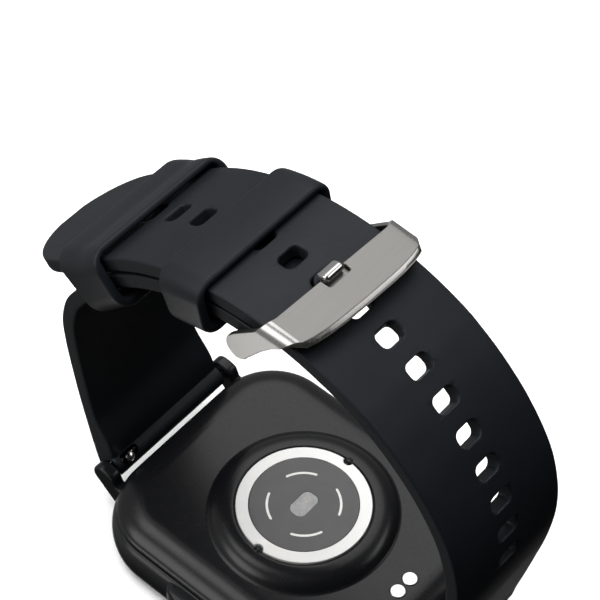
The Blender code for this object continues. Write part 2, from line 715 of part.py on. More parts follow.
def build_release_pin(name, centre, side_y):
    """Spring-loaded tip with a collar, and a knob that stands out of the strap's inner side."""
    tip, collar = TIP_RADIUS, BAR_RADIUS
    profile = [(tip, -12.3 * MM), (tip, -10.8 * MM), (collar, -10.8 * MM)]
    profile += [(collar, -8.1 * MM), (tip, -8.1 * MM), (tip, -5.2 * MM)]
    pin = add_object(name, turned(name, profile, centre, "X", 16), "polished_steel", centre)
    neck, button = 0.45 * MM, 0.7 * MM
    profile = ((neck, 0.2 * MM), (neck, 2.2 * MM), (button, 2.4 * MM), (button, 3.1 * MM))
    knob = turned("knob", profile, (0, 0, 0), "Z", 12)
    turn = Matrix.Rotation(side_y * math.radians(38), 4, "X")
    knob.transform(Matrix.Translation((KNOB_X, centre[1], centre[2])) @ turn)
    boolean(pin, add_object("knob_blank", knob, None), "UNION")


# ---------------------------------------------------------------- buckle

def buckle_arm_outline():
    """(y, z) outline of a side arm: a lobe round the bar, and a foot that spreads under the plate."""
    lobe = arc((-0.4 * MM, 59.5 * MM), 2.3 * MM, 2, -105, 9)
    under = [(-2.2, 58.6), (-2.8, 59.9), (-3.7, 61.0), (-5.2, 62.5), (-6.6, 63.9), (-7.9, 64.9)]
    over = [(-7.9, 65.5), (-4.2, 65.5)]
    return lobe + [(y * MM, z * MM) for y, z in under + over]


def plate_ring(inset, z):
    """Plan outline of the front plate, with round front corners, drawn in by inset."""
    half = BUCKLE_OUTER_X - inset
    front, rear = PLATE_FRONT_Y + inset, PLATE_REAR_Y - inset
    radius = PLATE_CORNER - inset
    right = arc((half - radius, front + radius), radius, 0, -90, 6)
    left = arc((radius - half, front + radius), radius, -90, -180, 6)
    return [(x, y, z) for x, y in [(half, rear), *right, *left, (-half, rear)]]


def build_buckle_frame():
    y, z = loop_point(BUCKLE_BAR_LOOP_RADIUS, BUCKLE_BAR_DEG)
    arm = side_plate("buckle_frame", buckle_arm_outline(), BUCKLE_INNER_X, BUCKLE_OUTER_X)
    frame = add_object("buckle_frame", arm, "brushed_steel", (0, y, z))
    other = side_plate("arm", buckle_arm_outline(), -BUCKLE_OUTER_X, -BUCKLE_INNER_X)
    levels = [(0.5 * MM, PLATE_BOTTOM), (0, PLATE_BOTTOM + 0.4 * MM)]
    levels += [(0, PLATE_TOP - 0.3 * MM), (0.3 * MM, PLATE_TOP)]
    rings = [plate_ring(inset, level) for inset, level in levels]
    plate = mesh_from_rings("plate", rings, False)
    boolean(frame, add_object("buckle_plate", plate, None), "UNION")
    boolean(frame, add_object("buckle_arm", other, None), "UNION")
    radius, reach = BUCKLE_BAR_RADIUS + 0.1 * MM, BUCKLE_BORE_END_X
    bore = cylinder("bore", radius, -reach, reach, (0, y, z), "X", 16)
    boolean(frame, add_object("buckle_arm_bore", bore, None))
    half = TONGUE_WIDTH / 2 + 0.35 * MM
    notch = box("notch", (-half, NOTCH_FRONT_Y, NOTCH_FLOOR_Z), (half, -3 * MM, 68 * MM))
    boolean(frame, add_object("tongue_notch", notch, None))
    reach = BUCKLE_BAR_END_X
    bar = cylinder("buckle_bar", BUCKLE_BAR_RADIUS, -reach, reach, (0, y, z), "X", 16)
    add_object("buckle_bar", bar, "polished_steel", (0, y, z))


def build_tongue():
    """Tongue: an eye on the bar, a bend up through a strap hole, and a tip lying in the plate's notch."""
    y, z = loop_point(BUCKLE_BAR_LOOP_RADIUS, BUCKLE_BAR_DEG)
    half = TONGUE_WIDTH / 2
    bore = BUCKLE_BAR_RADIUS + 0.1 * MM
    eye = tube("buckle_tongue", 1.05 * MM, bore, -half, half, (0, y, z), "X", 18)
    tongue = add_object("buckle_tongue", eye, "polished_steel", (0, y, z))
    guide = [(-1.15, 60.1), (-2.15, 60.05), (-2.9, 60.8), (-3.1, 62.4), (-3.35, 64.3)]
    guide += [(-3.85, 65.5), (-5.1, 65.85)]
    path = smooth_path([(a * MM, b * MM) for a, b in guide], 3)
    rings = []
    for i, point in enumerate(path):
        normal = outward(path, i, -1)
        base = Vector((0, *point)) + normal * TONGUE_THICKNESS / 2
        rings.append(bar_section(base.yz, normal, half, TONGUE_THICKNESS, 0.25 * MM, 0.25 * MM))
    blade = add_object("tongue_blade", mesh_from_rings("blade", rings, False), None)
    boolean(tongue, blade, "UNION")


# ---------------------------------------------------------------- keepers

def keeper_outline(grow, corner, rise, steps=5):
    """(x, radius from the loop's centre) points round both straps, grown outwards.

    The top is raised by rise, and its wall is a little thinner than the others.
    """
    half_x = STRAP_HALF_WIDTH + KEEPER_CLEARANCE + grow
    low = SHORT_RADIUS - STRAP_THICKNESS - KEEPER_CLEARANCE - KEEPER_DROP - grow
    high = LONG_RADIUS + KEEPER_CLEARANCE + rise + grow * KEEPER_TOP_WALL_SHARE
    points = []
    corners = ((1, high - corner), (-1, high - corner), (-1, low + corner), (1, low + corner))
    for number, (side, centre_r) in enumerate(corners):
        centre_x = side * (half_x - corner)
        for step in range(steps + 1):
            angle = math.radians(90 * (number + step / steps))
            x = centre_x + corner * math.cos(angle)
            points.append((x, centre_r + corner * math.sin(angle)))
    return points


def build_keepers():
    """Loops round both straps. The second one flares on the side of the tail, which leaves the arc."""
    edge_wall = KEEPER_WALL - 0.35 * MM
    stations = [(-1.0, edge_wall), (-0.9, KEEPER_WALL), (0.0, KEEPER_WALL)]
    stations += [(0.9, KEEPER_WALL), (1.0, edge_wall)]
    for number, middle in enumerate(KEEPER_DEG, 1):
        half = KEEPER_SPAN_DEG[number - 1] / 2
        rings = []
        for share, wall in stations:
            rise = KEEPER_SLACK[number - 1] + KEEPER_RISE[number - 1] * max(-share, 0)
            shape = keeper_outline(wall, 2.6 * MM, rise)
            rings.append(keeper_ring(shape, middle + share * half))
        for share in (1.0, 0.0, -1.0):
            rise = KEEPER_SLACK[number - 1] + KEEPER_RISE[number - 1] * max(-share, 0)
            shape = keeper_outline(0.0, 0.6 * MM, rise)
            rings.append(keeper_ring(shape, middle + share * half))
        name = f"keeper_{number}"
        origin = (0, LOOP_Y, LOOP_Z)
        add_object(name, mesh_from_rings(name, rings, True), "silicone", origin)


def keeper_ring(shape, degrees):
    return [(x, *loop_point(radius, degrees)) for x, radius in shape]


def build():
    clear_scene()
    build_case_frame()
    build_back_cover()
    build_seals()
    build_glass()
    build_display()
    build_chassis()
    build_board()
    build_screws()
    build_inside_blocks()
    build_sensor()
    build_charging()
    build_crown()
    build_long_strap()
    build_short_strap()
    build_spring_bars()
    build_buckle_frame()
    build_tongue()
    build_keepers()


build()
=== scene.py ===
import json
import math

import bmesh
import bpy
from mathutils import Matrix, Vector


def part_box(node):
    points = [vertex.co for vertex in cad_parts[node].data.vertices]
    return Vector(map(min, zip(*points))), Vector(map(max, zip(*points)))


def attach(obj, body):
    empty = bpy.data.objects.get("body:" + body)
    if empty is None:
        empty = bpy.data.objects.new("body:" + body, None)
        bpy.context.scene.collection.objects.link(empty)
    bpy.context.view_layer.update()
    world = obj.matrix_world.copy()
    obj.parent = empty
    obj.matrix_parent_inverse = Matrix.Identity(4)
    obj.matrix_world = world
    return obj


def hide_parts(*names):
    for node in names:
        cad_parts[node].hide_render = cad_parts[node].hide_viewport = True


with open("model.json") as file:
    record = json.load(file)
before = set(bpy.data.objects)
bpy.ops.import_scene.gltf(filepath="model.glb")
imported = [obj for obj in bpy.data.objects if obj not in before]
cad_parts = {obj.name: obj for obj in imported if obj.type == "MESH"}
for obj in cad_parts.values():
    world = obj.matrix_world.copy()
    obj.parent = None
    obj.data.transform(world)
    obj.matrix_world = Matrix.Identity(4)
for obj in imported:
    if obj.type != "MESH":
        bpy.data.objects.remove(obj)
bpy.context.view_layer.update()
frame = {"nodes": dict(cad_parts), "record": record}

MM = 0.001

# ------------------------ sizes read from the frame
NODES = frame["nodes"]
RING_LOW, RING_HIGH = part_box("sensor_ring")
RING_TOP = RING_HIGH.z
RING_OUTER = RING_HIGH.y
LENS_LOW, LENS_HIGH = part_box("sensor_lens")
COVER_LOW, COVER_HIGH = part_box("back_cover")
FRAME_LOW, FRAME_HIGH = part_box("case_frame")
GLASS_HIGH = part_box("cover_glass")[1]
BAR_CENTRE = sum(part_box("spring_bar_12"), Vector()) / 2
BAR_Y, BAR_Z = BAR_CENTRE.y, BAR_CENTRE.z
BUCKLE_BAR = sum(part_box("buckle_bar"), Vector()) / 2
BUCKLE_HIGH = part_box("buckle_frame")[1]
CAP_LOW, CAP_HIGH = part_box("crown_cap")
CROWN_Z = (CAP_LOW.z + CAP_HIGH.z) / 2
CORNER_X = 9.3 * MM
CORNER_Y = 14.1 * MM
CORNER_STEPS = 18
COVER_RIM = COVER_HIGH.x - CORNER_X
CASE_EDGE = FRAME_HIGH.x - CORNER_X

# ------------------------ sizes of the design
BACK_PLANE = 9.9 * MM
DOME_TOP = 11.6 * MM
DOME_RADIUS = 13.2 * MM
SEAT_Z = 10.6 * MM
CONTACT_PITCH = 2.54 * MM
CONTACT_RADIUS = 1.05 * MM
CONTACT_Y = -17.8 * MM
LUG_INNER_X = 11.25 * MM
LUG_OUTER_X = 13.1 * MM
LUG_TIP_RADIUS = 1.7 * MM
STRAP_EYE_RADIUS = 1.72 * MM
STRAP_BORE = 0.95 * MM
KNOB_X = -8.9 * MM
KNOB_TILT = math.radians(38)
RELEASE_TRAVEL = 1.3 * MM
LOOP_Y = -0.3 * MM
LOOP_Z = 26.2 * MM
LONG_RADIUS = 37.5 * MM
SHORT_RADIUS = 35.0 * MM
STRAP_THICKNESS = 2.2 * MM
STRAP_END_THICKNESS = 3.7 * MM
STRAP_HALF_WIDTH = 10.05 * MM
STRAP_END_HALF_WIDTH = 10.8 * MM
HOLE_COUNT = 16
HOLE_PITCH = 5.1 * MM
HOLE_SIZE = (3.5 * MM, 2.4 * MM)
FIRST_HOLE_FROM_TIP = 21.45 * MM
HOLE_CORNER = 0.85 * MM
TIP_LENGTH = 9.2 * MM
TIP_FLAT = 0.1 * MM
TIP_EDGE = 0.3 * MM
SWELL_START = 4 * MM
SWELL_LENGTH = 6 * MM
FLARE_LENGTH = 22 * MM
KEEPER_DEG = (74.45, 42.7)
KEEPER_SPAN_DEG = (11.1, 13.6)
KEEPER_RISE = (0.0, 1.4 * MM)
KEEPER_SLACK = (0.0, 0.3 * MM)
KEEPER_SIDE_GAP = 0.55 * MM
KEEPER_LOW_GAP = 0.3 * MM
KEEPER_TOP_GAP = 0.18 * MM
KEEPER_DROP = 0.9 * MM
KEEPER_WALL = 1.5 * MM
KEEPER_TOP_WALL_SHARE = 0.8
BUCKLE_BAR_DEG = 90.0
BUCKLE_OUTER_X = BUCKLE_HIGH.x
PLATE_TOP = BUCKLE_HIGH.z
PLATE_REAR_Y = -4.2 * MM
TONGUE_WIDTH = 3.2 * MM
TONGUE_THICKNESS = 1.1 * MM
TONGUE_SLOT = 4.4 * MM
STATION = 0.9 * MM


# ======================== node helpers

def new_material(name, colour, roughness, metallic=0.0, **constants):
    """Principled material; constants are set on the shader's own sockets."""
    made = bpy.data.materials.new(name)
    made.use_nodes = True
    shader = made.node_tree.nodes["Principled BSDF"]
    shader.inputs["Base Color"].default_value = (*colour, 1.0)
    shader.inputs["Roughness"].default_value = roughness
    shader.inputs["Metallic"].default_value = metallic
    for socket, value in constants.items():
        shader.inputs[socket.replace("_", " ")].default_value = value
    return made


def add_node(made, kind, **settings):
    node = made.node_tree.nodes.new(kind)
    for key, value in settings.items():
        if key in node.inputs:
            node.inputs[key].default_value = value
        else:
            setattr(node, key, value)
    return node


def link(made, source, target):
    made.node_tree.links.new(source, target)


def noise_at(made, per_metre, detail=3.0, roughness=0.55):
    """Noise in the piece's own space; per_metre is a number, or one for each axis."""
    place = add_node(made, "ShaderNodeTexCoord")
    scale = per_metre if hasattr(per_metre, "__len__") else (per_metre,) * 3
    mapping = add_node(made, "ShaderNodeMapping")
    mapping.inputs["Scale"].default_value = scale
    noise = add_node(made, "ShaderNodeTexNoise", Scale=1.0, Detail=detail, Roughness=roughness)
    link(made, place.outputs["Object"], mapping.inputs["Vector"])
    link(made, mapping.outputs["Vector"], noise.inputs["Vector"])
    return noise.outputs["Fac"]


def map_range(tree, source, start, end, low, high, kind="LINEAR"):
    """Maps start to low and end to high."""
    node = tree.nodes.new("ShaderNodeMapRange")
    node.interpolation_type = kind
    for socket, value in zip(("From Min", "From Max", "To Min", "To Max"), (start, end, low, high)):
        node.inputs[socket].default_value = value
    tree.links.new(source, node.inputs["Value"])
    return node.outputs["Result"]


def vary(made, factor, low, high):
    """Roughness between two values, over the middle range of a noise."""
    result = map_range(made.node_tree, factor, 0.3, 0.7, low, high)
    link(made, result, made.node_tree.nodes["Principled BSDF"].inputs["Roughness"])


def tint(made, factor, dark, light, start=0.35, end=0.65):
    """Colour variation between two close colours."""
    ramp = add_node(made, "ShaderNodeValToRGB")
    ramp.color_ramp.elements[0].position = start
    ramp.color_ramp.elements[0].color = (*dark, 1.0)
    ramp.color_ramp.elements[1].position = end
    ramp.color_ramp.elements[1].color = (*light, 1.0)
    link(made, factor, ramp.inputs["Fac"])
    link(made, ramp.outputs["Color"], made.node_tree.nodes["Principled BSDF"].inputs["Base Color"])


def relief(made, factor, height, strength):
    """Bump of a real height, in metres."""
    bump = add_node(made, "ShaderNodeBump", Strength=strength, Distance=height)
    link(made, factor, bump.inputs["Height"])
    link(made, bump.outputs["Normal"], made.node_tree.nodes["Principled BSDF"].inputs["Normal"])


# ======================== materials

CASE_TONES = ((0.0036, 0.004, 0.0049), (0.0044, 0.0049, 0.0058))
COVER_TONES = ((0.0046, 0.0048, 0.0056), (0.0052, 0.0054, 0.0062))


def silicone():
    made = new_material("silicone_black", (0.0055, 0.0068, 0.009), 0.5, Specular_IOR_Level=0.45)
    tint(made, noise_at(made, 160), (0.005, 0.0062, 0.0083), (0.006, 0.0074, 0.0097))
    vary(made, noise_at(made, 2600, 3), 0.47, 0.55)
    relief(made, noise_at(made, 14000, 2), 0.004 * MM, 0.5)
    return made


def moulded(name, tones, rough):
    """Satin black moulding with a fine spark-eroded grain."""
    made = new_material(name, tones[1], rough[0], Specular_IOR_Level=0.5)
    tint(made, noise_at(made, 140), *tones)
    vary(made, noise_at(made, 700, 4), *rough)
    relief(made, noise_at(made, 12000, 2), 0.003 * MM, 0.2)
    return made


def polished(name, colour, rough=(0.06, 0.16)):
    """Polished metal with faint hairlines and smudges."""
    made = new_material(name, colour, rough[0], 1.0)
    vary(made, noise_at(made, 350, 5), *rough)
    relief(made, noise_at(made, (800, 14000, 14000), 2), 0.0012 * MM, 0.35)
    return made


def ring_plate():
    """Pale electrode plating, half dull, with faint grey clouds."""
    made = new_material("ring_plating", (0.74, 0.73, 0.71), 0.3, 0.3)
    tint(made, noise_at(made, 110, 2), (0.72, 0.72, 0.715), (0.755, 0.745, 0.725), 0.35, 0.6)
    vary(made, noise_at(made, 150, 2), 0.28, 0.34)
    return made


def brushed(name, colour, rough=(0.34, 0.4)):
    """Steel with fine brush lines along X."""
    made = new_material(name, colour, 0.3, 1.0)
    dark = tuple(c * 0.95 for c in colour)
    tint(made, noise_at(made, (90, 9000, 9000), 3, 0.7), dark, colour, 0.3, 0.7)
    vary(made, noise_at(made, (160, 15000, 15000), 3, 0.7), *rough)
    relief(made, noise_at(made, (120, 20000, 20000), 2, 0.6), 0.0006 * MM, 0.3)
    return made


def glass_black():
    made = new_material(
        "glass_black", (0.004, 0.004, 0.005), 0.04, Coat_Weight=1.0, Coat_Roughness=0.03
    )
    vary(made, noise_at(made, 120, 5), 0.03, 0.09)
    return made


def smoked_lens():
    made = new_material("lens_smoked", (0.066, 0.066, 0.066), 0.16, Specular_IOR_Level=0.5)
    tint(made, noise_at(made, 400), (0.063, 0.063, 0.063), (0.069, 0.069, 0.069))
    vary(made, noise_at(made, 250, 4), 0.14, 0.2)
    return made


def window_grey():
    """Light window: grey translucent plastic."""
    made = new_material("window_grey", (0.30, 0.30, 0.30), 0.25, Specular_IOR_Level=0.5)
    tint(made, noise_at(made, 900, 3), (0.26, 0.26, 0.26), (0.33, 0.33, 0.33))
    vary(made, noise_at(made, 700), 0.2, 0.32)
    return made


def plain(name, colour, rough, metallic=0.0, scale=600, spread=0.12):
    """Plain stuff, whose colour and roughness vary a little; scale is in spots per metre."""
    made = new_material(name, colour, rough[0], metallic)
    dark = tuple(c * (1 - spread) for c in colour)
    tint(made, noise_at(made, scale), dark, colour)
    vary(made, noise_at(made, scale * 3), *rough)
    relief(made, noise_at(made, 8000, 2), 0.003 * MM, 0.4)
    return made


def make_materials():
    return {
        "case_black": moulded("case_black", CASE_TONES, (0.27, 0.31)),
        "cover_black": moulded("cover_black", COVER_TONES, (0.25, 0.28)),
        "glass": glass_black(),
        "display": plain("display", (0.01, 0.01, 0.012), (0.15, 0.25)),
        "gasket": plain("gasket", (0.008, 0.008, 0.008), (0.7, 0.85)),
        "sensor_ring": ring_plate(),
        "lens": smoked_lens(),
        "window": window_grey(),
        "contact": polished("contact_metal", (0.93, 0.92, 0.885), (0.18, 0.28)),
        "silicone": silicone(),
        "brushed_steel": brushed("steel_brushed", (0.335, 0.326, 0.313)),
        # lighter, smoother copy of the brushed steel for the buckle's bevel and shoulders: the lower
        # roughness is real polish, the lighter colour is a painted highlight
        "steel_edge_painted_highlight": brushed("steel_edge_painted_highlight", (0.6, 0.59, 0.57), (0.25, 0.29)),
        "flank": plain("silicone_flank", (0.0075, 0.009, 0.0115), (0.75, 0.85), scale=900),
        "led": plain("led_amber", (0.62, 0.42, 0.28), (0.3, 0.4)),
        "polished_steel": polished("steel_polished", (0.74, 0.73, 0.72)),
        "magnet": plain("magnet_nickel", (0.5, 0.5, 0.51), (0.25, 0.4), 1.0),
        "board": plain("board_green", (0.012, 0.08, 0.035), (0.4, 0.55)),
        "chassis": plain("chassis_dark", (0.05, 0.05, 0.055), (0.5, 0.65)),
        "battery": plain("battery_foil", (0.42, 0.43, 0.45), (0.3, 0.5), 0.6),
        "component": plain("component_black", (0.025, 0.025, 0.027), (0.35, 0.5)),
        "arc_white": plain("arc_white", (0.80, 0.79, 0.77), (0.35, 0.5)),
    }


# ======================== mesh helpers

def finish_piece(obj, body, slot, replaced=(), smooth_deg=35, look=None):
    """Shades a piece, parents it to its body's empty and hides the CAD nodes it replaces; look names
    its material where that isn't the slot's own.
    """
    obj.data.shade_smooth()
    obj.data.set_sharp_from_angle(angle=math.radians(smooth_deg))
    weighted = obj.modifiers.new("flat faces", "WEIGHTED_NORMAL")
    weighted.keep_sharp = True
    apply_modifiers(obj)
    obj.data.materials.clear()
    obj.data.materials.append(MATERIALS[look or slot])
    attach(obj, body)
    if replaced:
        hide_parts(*replaced)


def second_finish(obj, material, chosen):
    """Gives the faces whose normal is chosen another finish."""
    obj.data.materials.append(MATERIALS[material])
    for face in obj.data.polygons:
        if chosen(face.normal):
            face.material_index = 1


def mesh_object(name, bm):
    bmesh.ops.recalc_face_normals(bm, faces=bm.faces)
    mesh = bpy.data.meshes.new(name)
    bm.to_mesh(mesh)
    bm.free()
    obj = bpy.data.objects.new(name, mesh)
    bpy.context.scene.collection.objects.link(obj)
    return obj


def skin(bm, rows, closed):
    """Faces between rows of vertices, and over the two ends of an open row."""
    pairs = list(zip(rows, rows[1:]))
    if closed:
        pairs.append((rows[-1], rows[0]))
    for lower, upper in pairs:
        for i in range(len(lower)):
            j = (i + 1) % len(lower)
            bm.faces.new((lower[i], lower[j], upper[j], upper[i]))
    if not closed:
        bm.faces.new(list(reversed(rows[0])))
        bm.faces.new(rows[-1])


def loft(name, rings, closed=False):
    """Skins equal rings of points; a closed loft joins its last ring to its first."""
    bm = bmesh.new()
    rows = [[bm.verts.new(point) for point in ring] for ring in rings]
    skin(bm, rows, closed)
    return mesh_object(name, bm)


def boolean(obj, cutters, operation="DIFFERENCE", solver="EXACT"):
    """Applies a Boolean with each cutter, and deletes the cutters."""
    for cutter in cutters:
        modifier = obj.modifiers.new("cut", "BOOLEAN")
        modifier.operation = operation
        modifier.solver = solver
        modifier.object = cutter
        apply_modifiers(obj)
        bpy.data.objects.remove(cutter, do_unlink=True)


def joined(name, pieces):
    """One object with the meshes of all the pieces."""
    bm = bmesh.new()
    for piece in pieces:
        bm.from_mesh(piece.data)
        bpy.data.objects.remove(piece, do_unlink=True)
    return mesh_object(name, bm)


def apply_modifiers(obj):
    """Replaces the mesh by the one that its modifiers make."""
    graph = bpy.context.evaluated_depsgraph_get()
    mesh = bpy.data.meshes.new_from_object(obj.evaluated_get(graph))
    obj.modifiers.clear()
    obj.data = mesh


def soften(obj, width):
    """Rounds the edges that are sharper than 40 degrees."""
    modifier = obj.modifiers.new("round", "BEVEL")
    modifier.width = width
    modifier.segments = 3
    modifier.limit_method = "ANGLE"
    modifier.angle_limit = math.radians(40)
    apply_modifiers(obj)
    return obj


def rounded_rectangle(grow, z):
    """Case outline: arcs of radius grow about the fixed corner centres."""
    points = []
    for corner, (sx, sy) in enumerate(((1, 1), (-1, 1), (-1, -1), (1, -1))):
        for step in range(CORNER_STEPS):
            angle = math.radians(90 * (corner + step / (CORNER_STEPS - 1)))
            x = sx * CORNER_X + grow * math.cos(angle)
            y = sy * CORNER_Y + grow * math.sin(angle)
            points.append((x, y, z))
    return points


def circle(radius, z, count=4 * CORNER_STEPS):
    """As many points as a case outline has, by default, so that one lofts into the other."""
    angles = [math.tau * (i + 0.5) / count for i in range(count)]
    return [(radius * math.cos(a), radius * math.sin(a), z) for a in angles]


def turned(name, profile, centre, axis="Z", steps=64, shape=None):
    """Solid turned from (radius, height) points; shape(angle, radius) may change a radius."""
    turn = {"Z": Matrix(), "X": Matrix.Rotation(math.pi / 2, 4, "Y")}[axis]
    place = Matrix.Translation(centre) @ turn
    rings = []
    for radius, height in profile:
        ring = []
        for i in range(steps):
            angle = math.tau * i / steps
            reach = shape(angle, radius) if shape else radius
            x, y = reach * math.cos(angle), reach * math.sin(angle)
            ring.append(place @ Vector((x, y, height)))
        rings.append(ring)
    return loft(name, rings)


def turned_ring(name, section, steps=128):
    """Closed ring about Z, from the (radius, z) points round its section."""
    return loft(name, [circle(radius, z, steps) for radius, z in section], True)


def rounded_section(low, high, radius, steps=4):
    """Points round a rectangle with round corners, from its low corner to its high one."""
    points = []
    corners = (
        (high[0], high[1], 0),
        (low[0], high[1], 90),
        (low[0], low[1], 180),
        (high[0], low[1], 270),
    )
    for x, y, start in corners:
        cx = x - math.copysign(radius, x - (low[0] + high[0]) / 2)
        cy = y - math.copysign(radius, y - (low[1] + high[1]) / 2)
        for step in range(steps + 1):
            angle = math.radians(start + 90 * step / steps)
            points.append((cx + radius * math.cos(angle), cy + radius * math.sin(angle)))
    return points


def scaled(points):
    """Pairs in millimetres, turned into metres."""
    return [(a * MM, b * MM) for a, b in points]


def arc(centre, radius, start_deg, end_deg, steps):
    turns = [math.radians(start_deg + (end_deg - start_deg) * i / steps) for i in range(steps + 1)]
    return [(centre[0] + radius * math.cos(t), centre[1] + radius * math.sin(t)) for t in turns]


def smooth_path(points, steps=4):
    """Catmull-Rom curve through 2-D points."""
    first = [2 * a - b for a, b in zip(points[0], points[1])]
    last = [2 * a - b for a, b in zip(points[-1], points[-2])]
    guide = [first, *points, last]
    path = []
    for i in range(1, len(guide) - 2):
        before, start, end, after = guide[i - 1 : i + 3]
        for step in range(steps):
            t = step / steps
            place = []
            for a, b, c, d in zip(before, start, end, after):
                cubic = 2 * b + (c - a) * t + (2 * a - 5 * b + 4 * c - d) * t**2
                place.append((cubic + (3 * b - a - 3 * c + d) * t**3) / 2)
            path.append(tuple(place))
    path.append(tuple(points[-1]))
    return path


def measured(path):
    """Distance along the path to each of its points."""
    run = [0.0]
    for (y0, z0), (y1, z1) in zip(path, path[1:]):
        run.append(run[-1] + math.hypot(y1 - y0, z1 - z0))
    return run


def point_at(path, run, distance):
    distance = min(max(distance, 0.0), run[-1])
    for i in range(1, len(run)):
        if run[i] >= distance:
            t = (distance - run[i - 1]) / (run[i] - run[i - 1])
            return tuple(a + (b - a) * t for a, b in zip(path[i - 1], path[i]))
    return path[-1]


def even_path(path, spacing):
    """The same path with points at even distances."""
    run = measured(path)
    count = max(2, round(run[-1] / spacing))
    return [point_at(path, run, run[-1] * i / count) for i in range(count + 1)]


def outward(path, index, side):
    """Unit normal of a path in the YZ plane at one of its points, on the given side."""
    (y0, z0), (y1, z1) = path[max(index - 1, 0)], path[min(index + 1, len(path) - 1)]
    length = math.hypot(y1 - y0, z1 - z0)
    return Vector((0, side * (z1 - z0) / length, -side * (y1 - y0) / length))


def ease(value):
    value = min(max(value, 0.0), 1.0)
    return value * value * (3 - 2 * value)


def interpolate(table, at):
    """Value at a place in a table of (place, value) pairs in rising order."""
    at = min(max(at, table[0][0]), table[-1][0])
    for (start, low), (end, high) in zip(table, table[1:]):
        if at <= end:
            return low + (high - low) * (at - start) / (end - start)
    return table[-1][1]


def loop_point(radius, degrees):
    """Point of the strap loop's top arc, at a radius and an angle from +Y."""
    turn = math.radians(degrees)
    return (LOOP_Y + radius * math.cos(turn), LOOP_Z + radius * math.sin(turn))


# ======================== case

def case_profile():
    """(grow, z) points round the wall's section: skin, top, inside with the glass ledge, lip."""
    outside = CASE_EDGE
    inside = outside - 2.4 * MM
    pocket = outside - 1.6 * MM
    ledge = pocket - 2.0 * MM
    guide = [(-1.05, 0.55), (-0.55, 0.95), (-0.18, 1.9), (0.0, 3.3), (-0.06, 4.7)]
    guide += [(-0.35, 6.0), (-0.72, 6.75)]
    outer = smooth_path([(outside + a * MM, b * MM) for a, b in guide], 3)
    top = [(outside - 0.82 * MM, 6.93 * MM), (outside - 0.95 * MM, 7.0 * MM), (inside, 7.0 * MM)]
    inner = [(inside, 2.75 * MM), (ledge, 2.35 * MM), (ledge, 1.45 * MM), (pocket, 1.45 * MM)]
    lip = [(pocket, 0.68 * MM), (pocket + 0.12 * MM, 0.55 * MM)]
    return outer + top + inner + lip


def lug_solid(side_x, side_y):
    """A thin lug with a round tip; its long edges are rounded afterwards."""
    tip = arc((BAR_Y, BAR_Z), LUG_TIP_RADIUS, -55, 100, 16)
    outline = [(22.2 * MM, 2.4 * MM), (24.4 * MM, 3.0 * MM), *tip]
    outline += [(24.9 * MM, 8.8 * MM), (24.25 * MM, 8.45 * MM), (23.95 * MM, 7.6 * MM)]
    outline += [(23.7 * MM, 6.9 * MM), (22.2 * MM, 6.7 * MM)]
    ends = sorted((side_x * LUG_INNER_X, side_x * LUG_OUTER_X))
    solid = loft("lug", [[(x, side_y * y, z) for y, z in outline] for x in ends])
    return soften(solid, 0.38 * MM)


def crown_guard():
    """Raised pad on the crown side with sloping, rounded ends; it narrows as it comes out."""
    outer = FRAME_LOW.x
    levels = ((2.3, 8.6, 0.0), (0.55, 7.4, 0.0), (0.12, 6.1, 0.15), (0.0, 5.6, 0.4))
    rings = []
    for depth, half, inset in levels:
        x = outer + depth * MM
        low, high = (-half * MM, (2.0 + inset) * MM), (half * MM, (6.6 - inset) * MM)
        rings.append([(x, y, z) for y, z in rounded_section(low, high, 0.9 * MM, 5)])
    return loft("guard", rings)


def build_case():
    """Moulded ring with its lugs and crown pad, bored for the spring bars and the crown's stem."""
    frame_piece = loft("case_shell", [rounded_rectangle(g, z) for g, z in case_profile()], True)
    lugs = [lug_solid(sx, sy) for sx in (1, -1) for sy in (1, -1)]
    boolean(frame_piece, [crown_guard(), *lugs], "UNION")
    reach = LUG_OUTER_X - 0.45 * MM
    pin_bore = ((0.5 * MM, -reach), (0.5 * MM, reach))
    bores = [turned("bore", pin_bore, (0, side * BAR_Y, BAR_Z), "X", 24) for side in (1, -1)]
    stem_bore = ((1.6 * MM, FRAME_LOW.x - MM), (1.6 * MM, -14 * MM))
    bores.append(turned("bore", stem_bore, (0, 0, CROWN_Z), "X", 40))
    boolean(frame_piece, bores)
    finish_piece(frame_piece, "case", "case_black", ["case_frame"], 38)


def cover_profile():
    """(grow or radius, z) points of the back cover: rim to flat, dome to seat, and inside."""
    low = COVER_LOW.z
    rim = [(-0.06, 0.0), (0.0, 0.12), (-0.05, 0.45), (-0.35, 0.98), (-0.95, 1.5)]
    rim += [(-1.85, 1.98), (-3.0, 2.33), (-4.3, 2.5)]
    outer = smooth_path([(COVER_RIM + a * MM, low + b * MM) for a, b in rim], 3)
    bulge = [(0.35, 0.0), (0.02, 0.1), (-0.25, 0.4), (-0.65, 0.85), (-1.3, 1.28)]
    bulge += [(-2.1, 1.55), (-2.9, 1.68), (-3.35, 1.7), (-3.5, 1.66)]
    dome = smooth_path([(DOME_RADIUS + a * MM, BACK_PLANE + b * MM) for a, b in bulge], 3)
    seat_wall = RING_OUTER + 0.1 * MM
    seat_inside, shell_inside, ceiling = 6.9 * MM, 9.7 * MM, 8.7 * MM
    dome += [(seat_wall, DOME_TOP - 0.12 * MM), (seat_wall, SEAT_Z), (seat_inside, SEAT_Z)]
    dome += [(seat_inside, shell_inside), (11.0 * MM, shell_inside), (12.0 * MM, ceiling)]
    inner = [(4.1 * MM, ceiling), (6.5 * MM, 8.3 * MM), (7.6 * MM, low)]
    return outer, dome, inner


def contact_places():
    return [(side * CONTACT_PITCH / 2, CONTACT_Y, 0) for side in (-1, 1)]


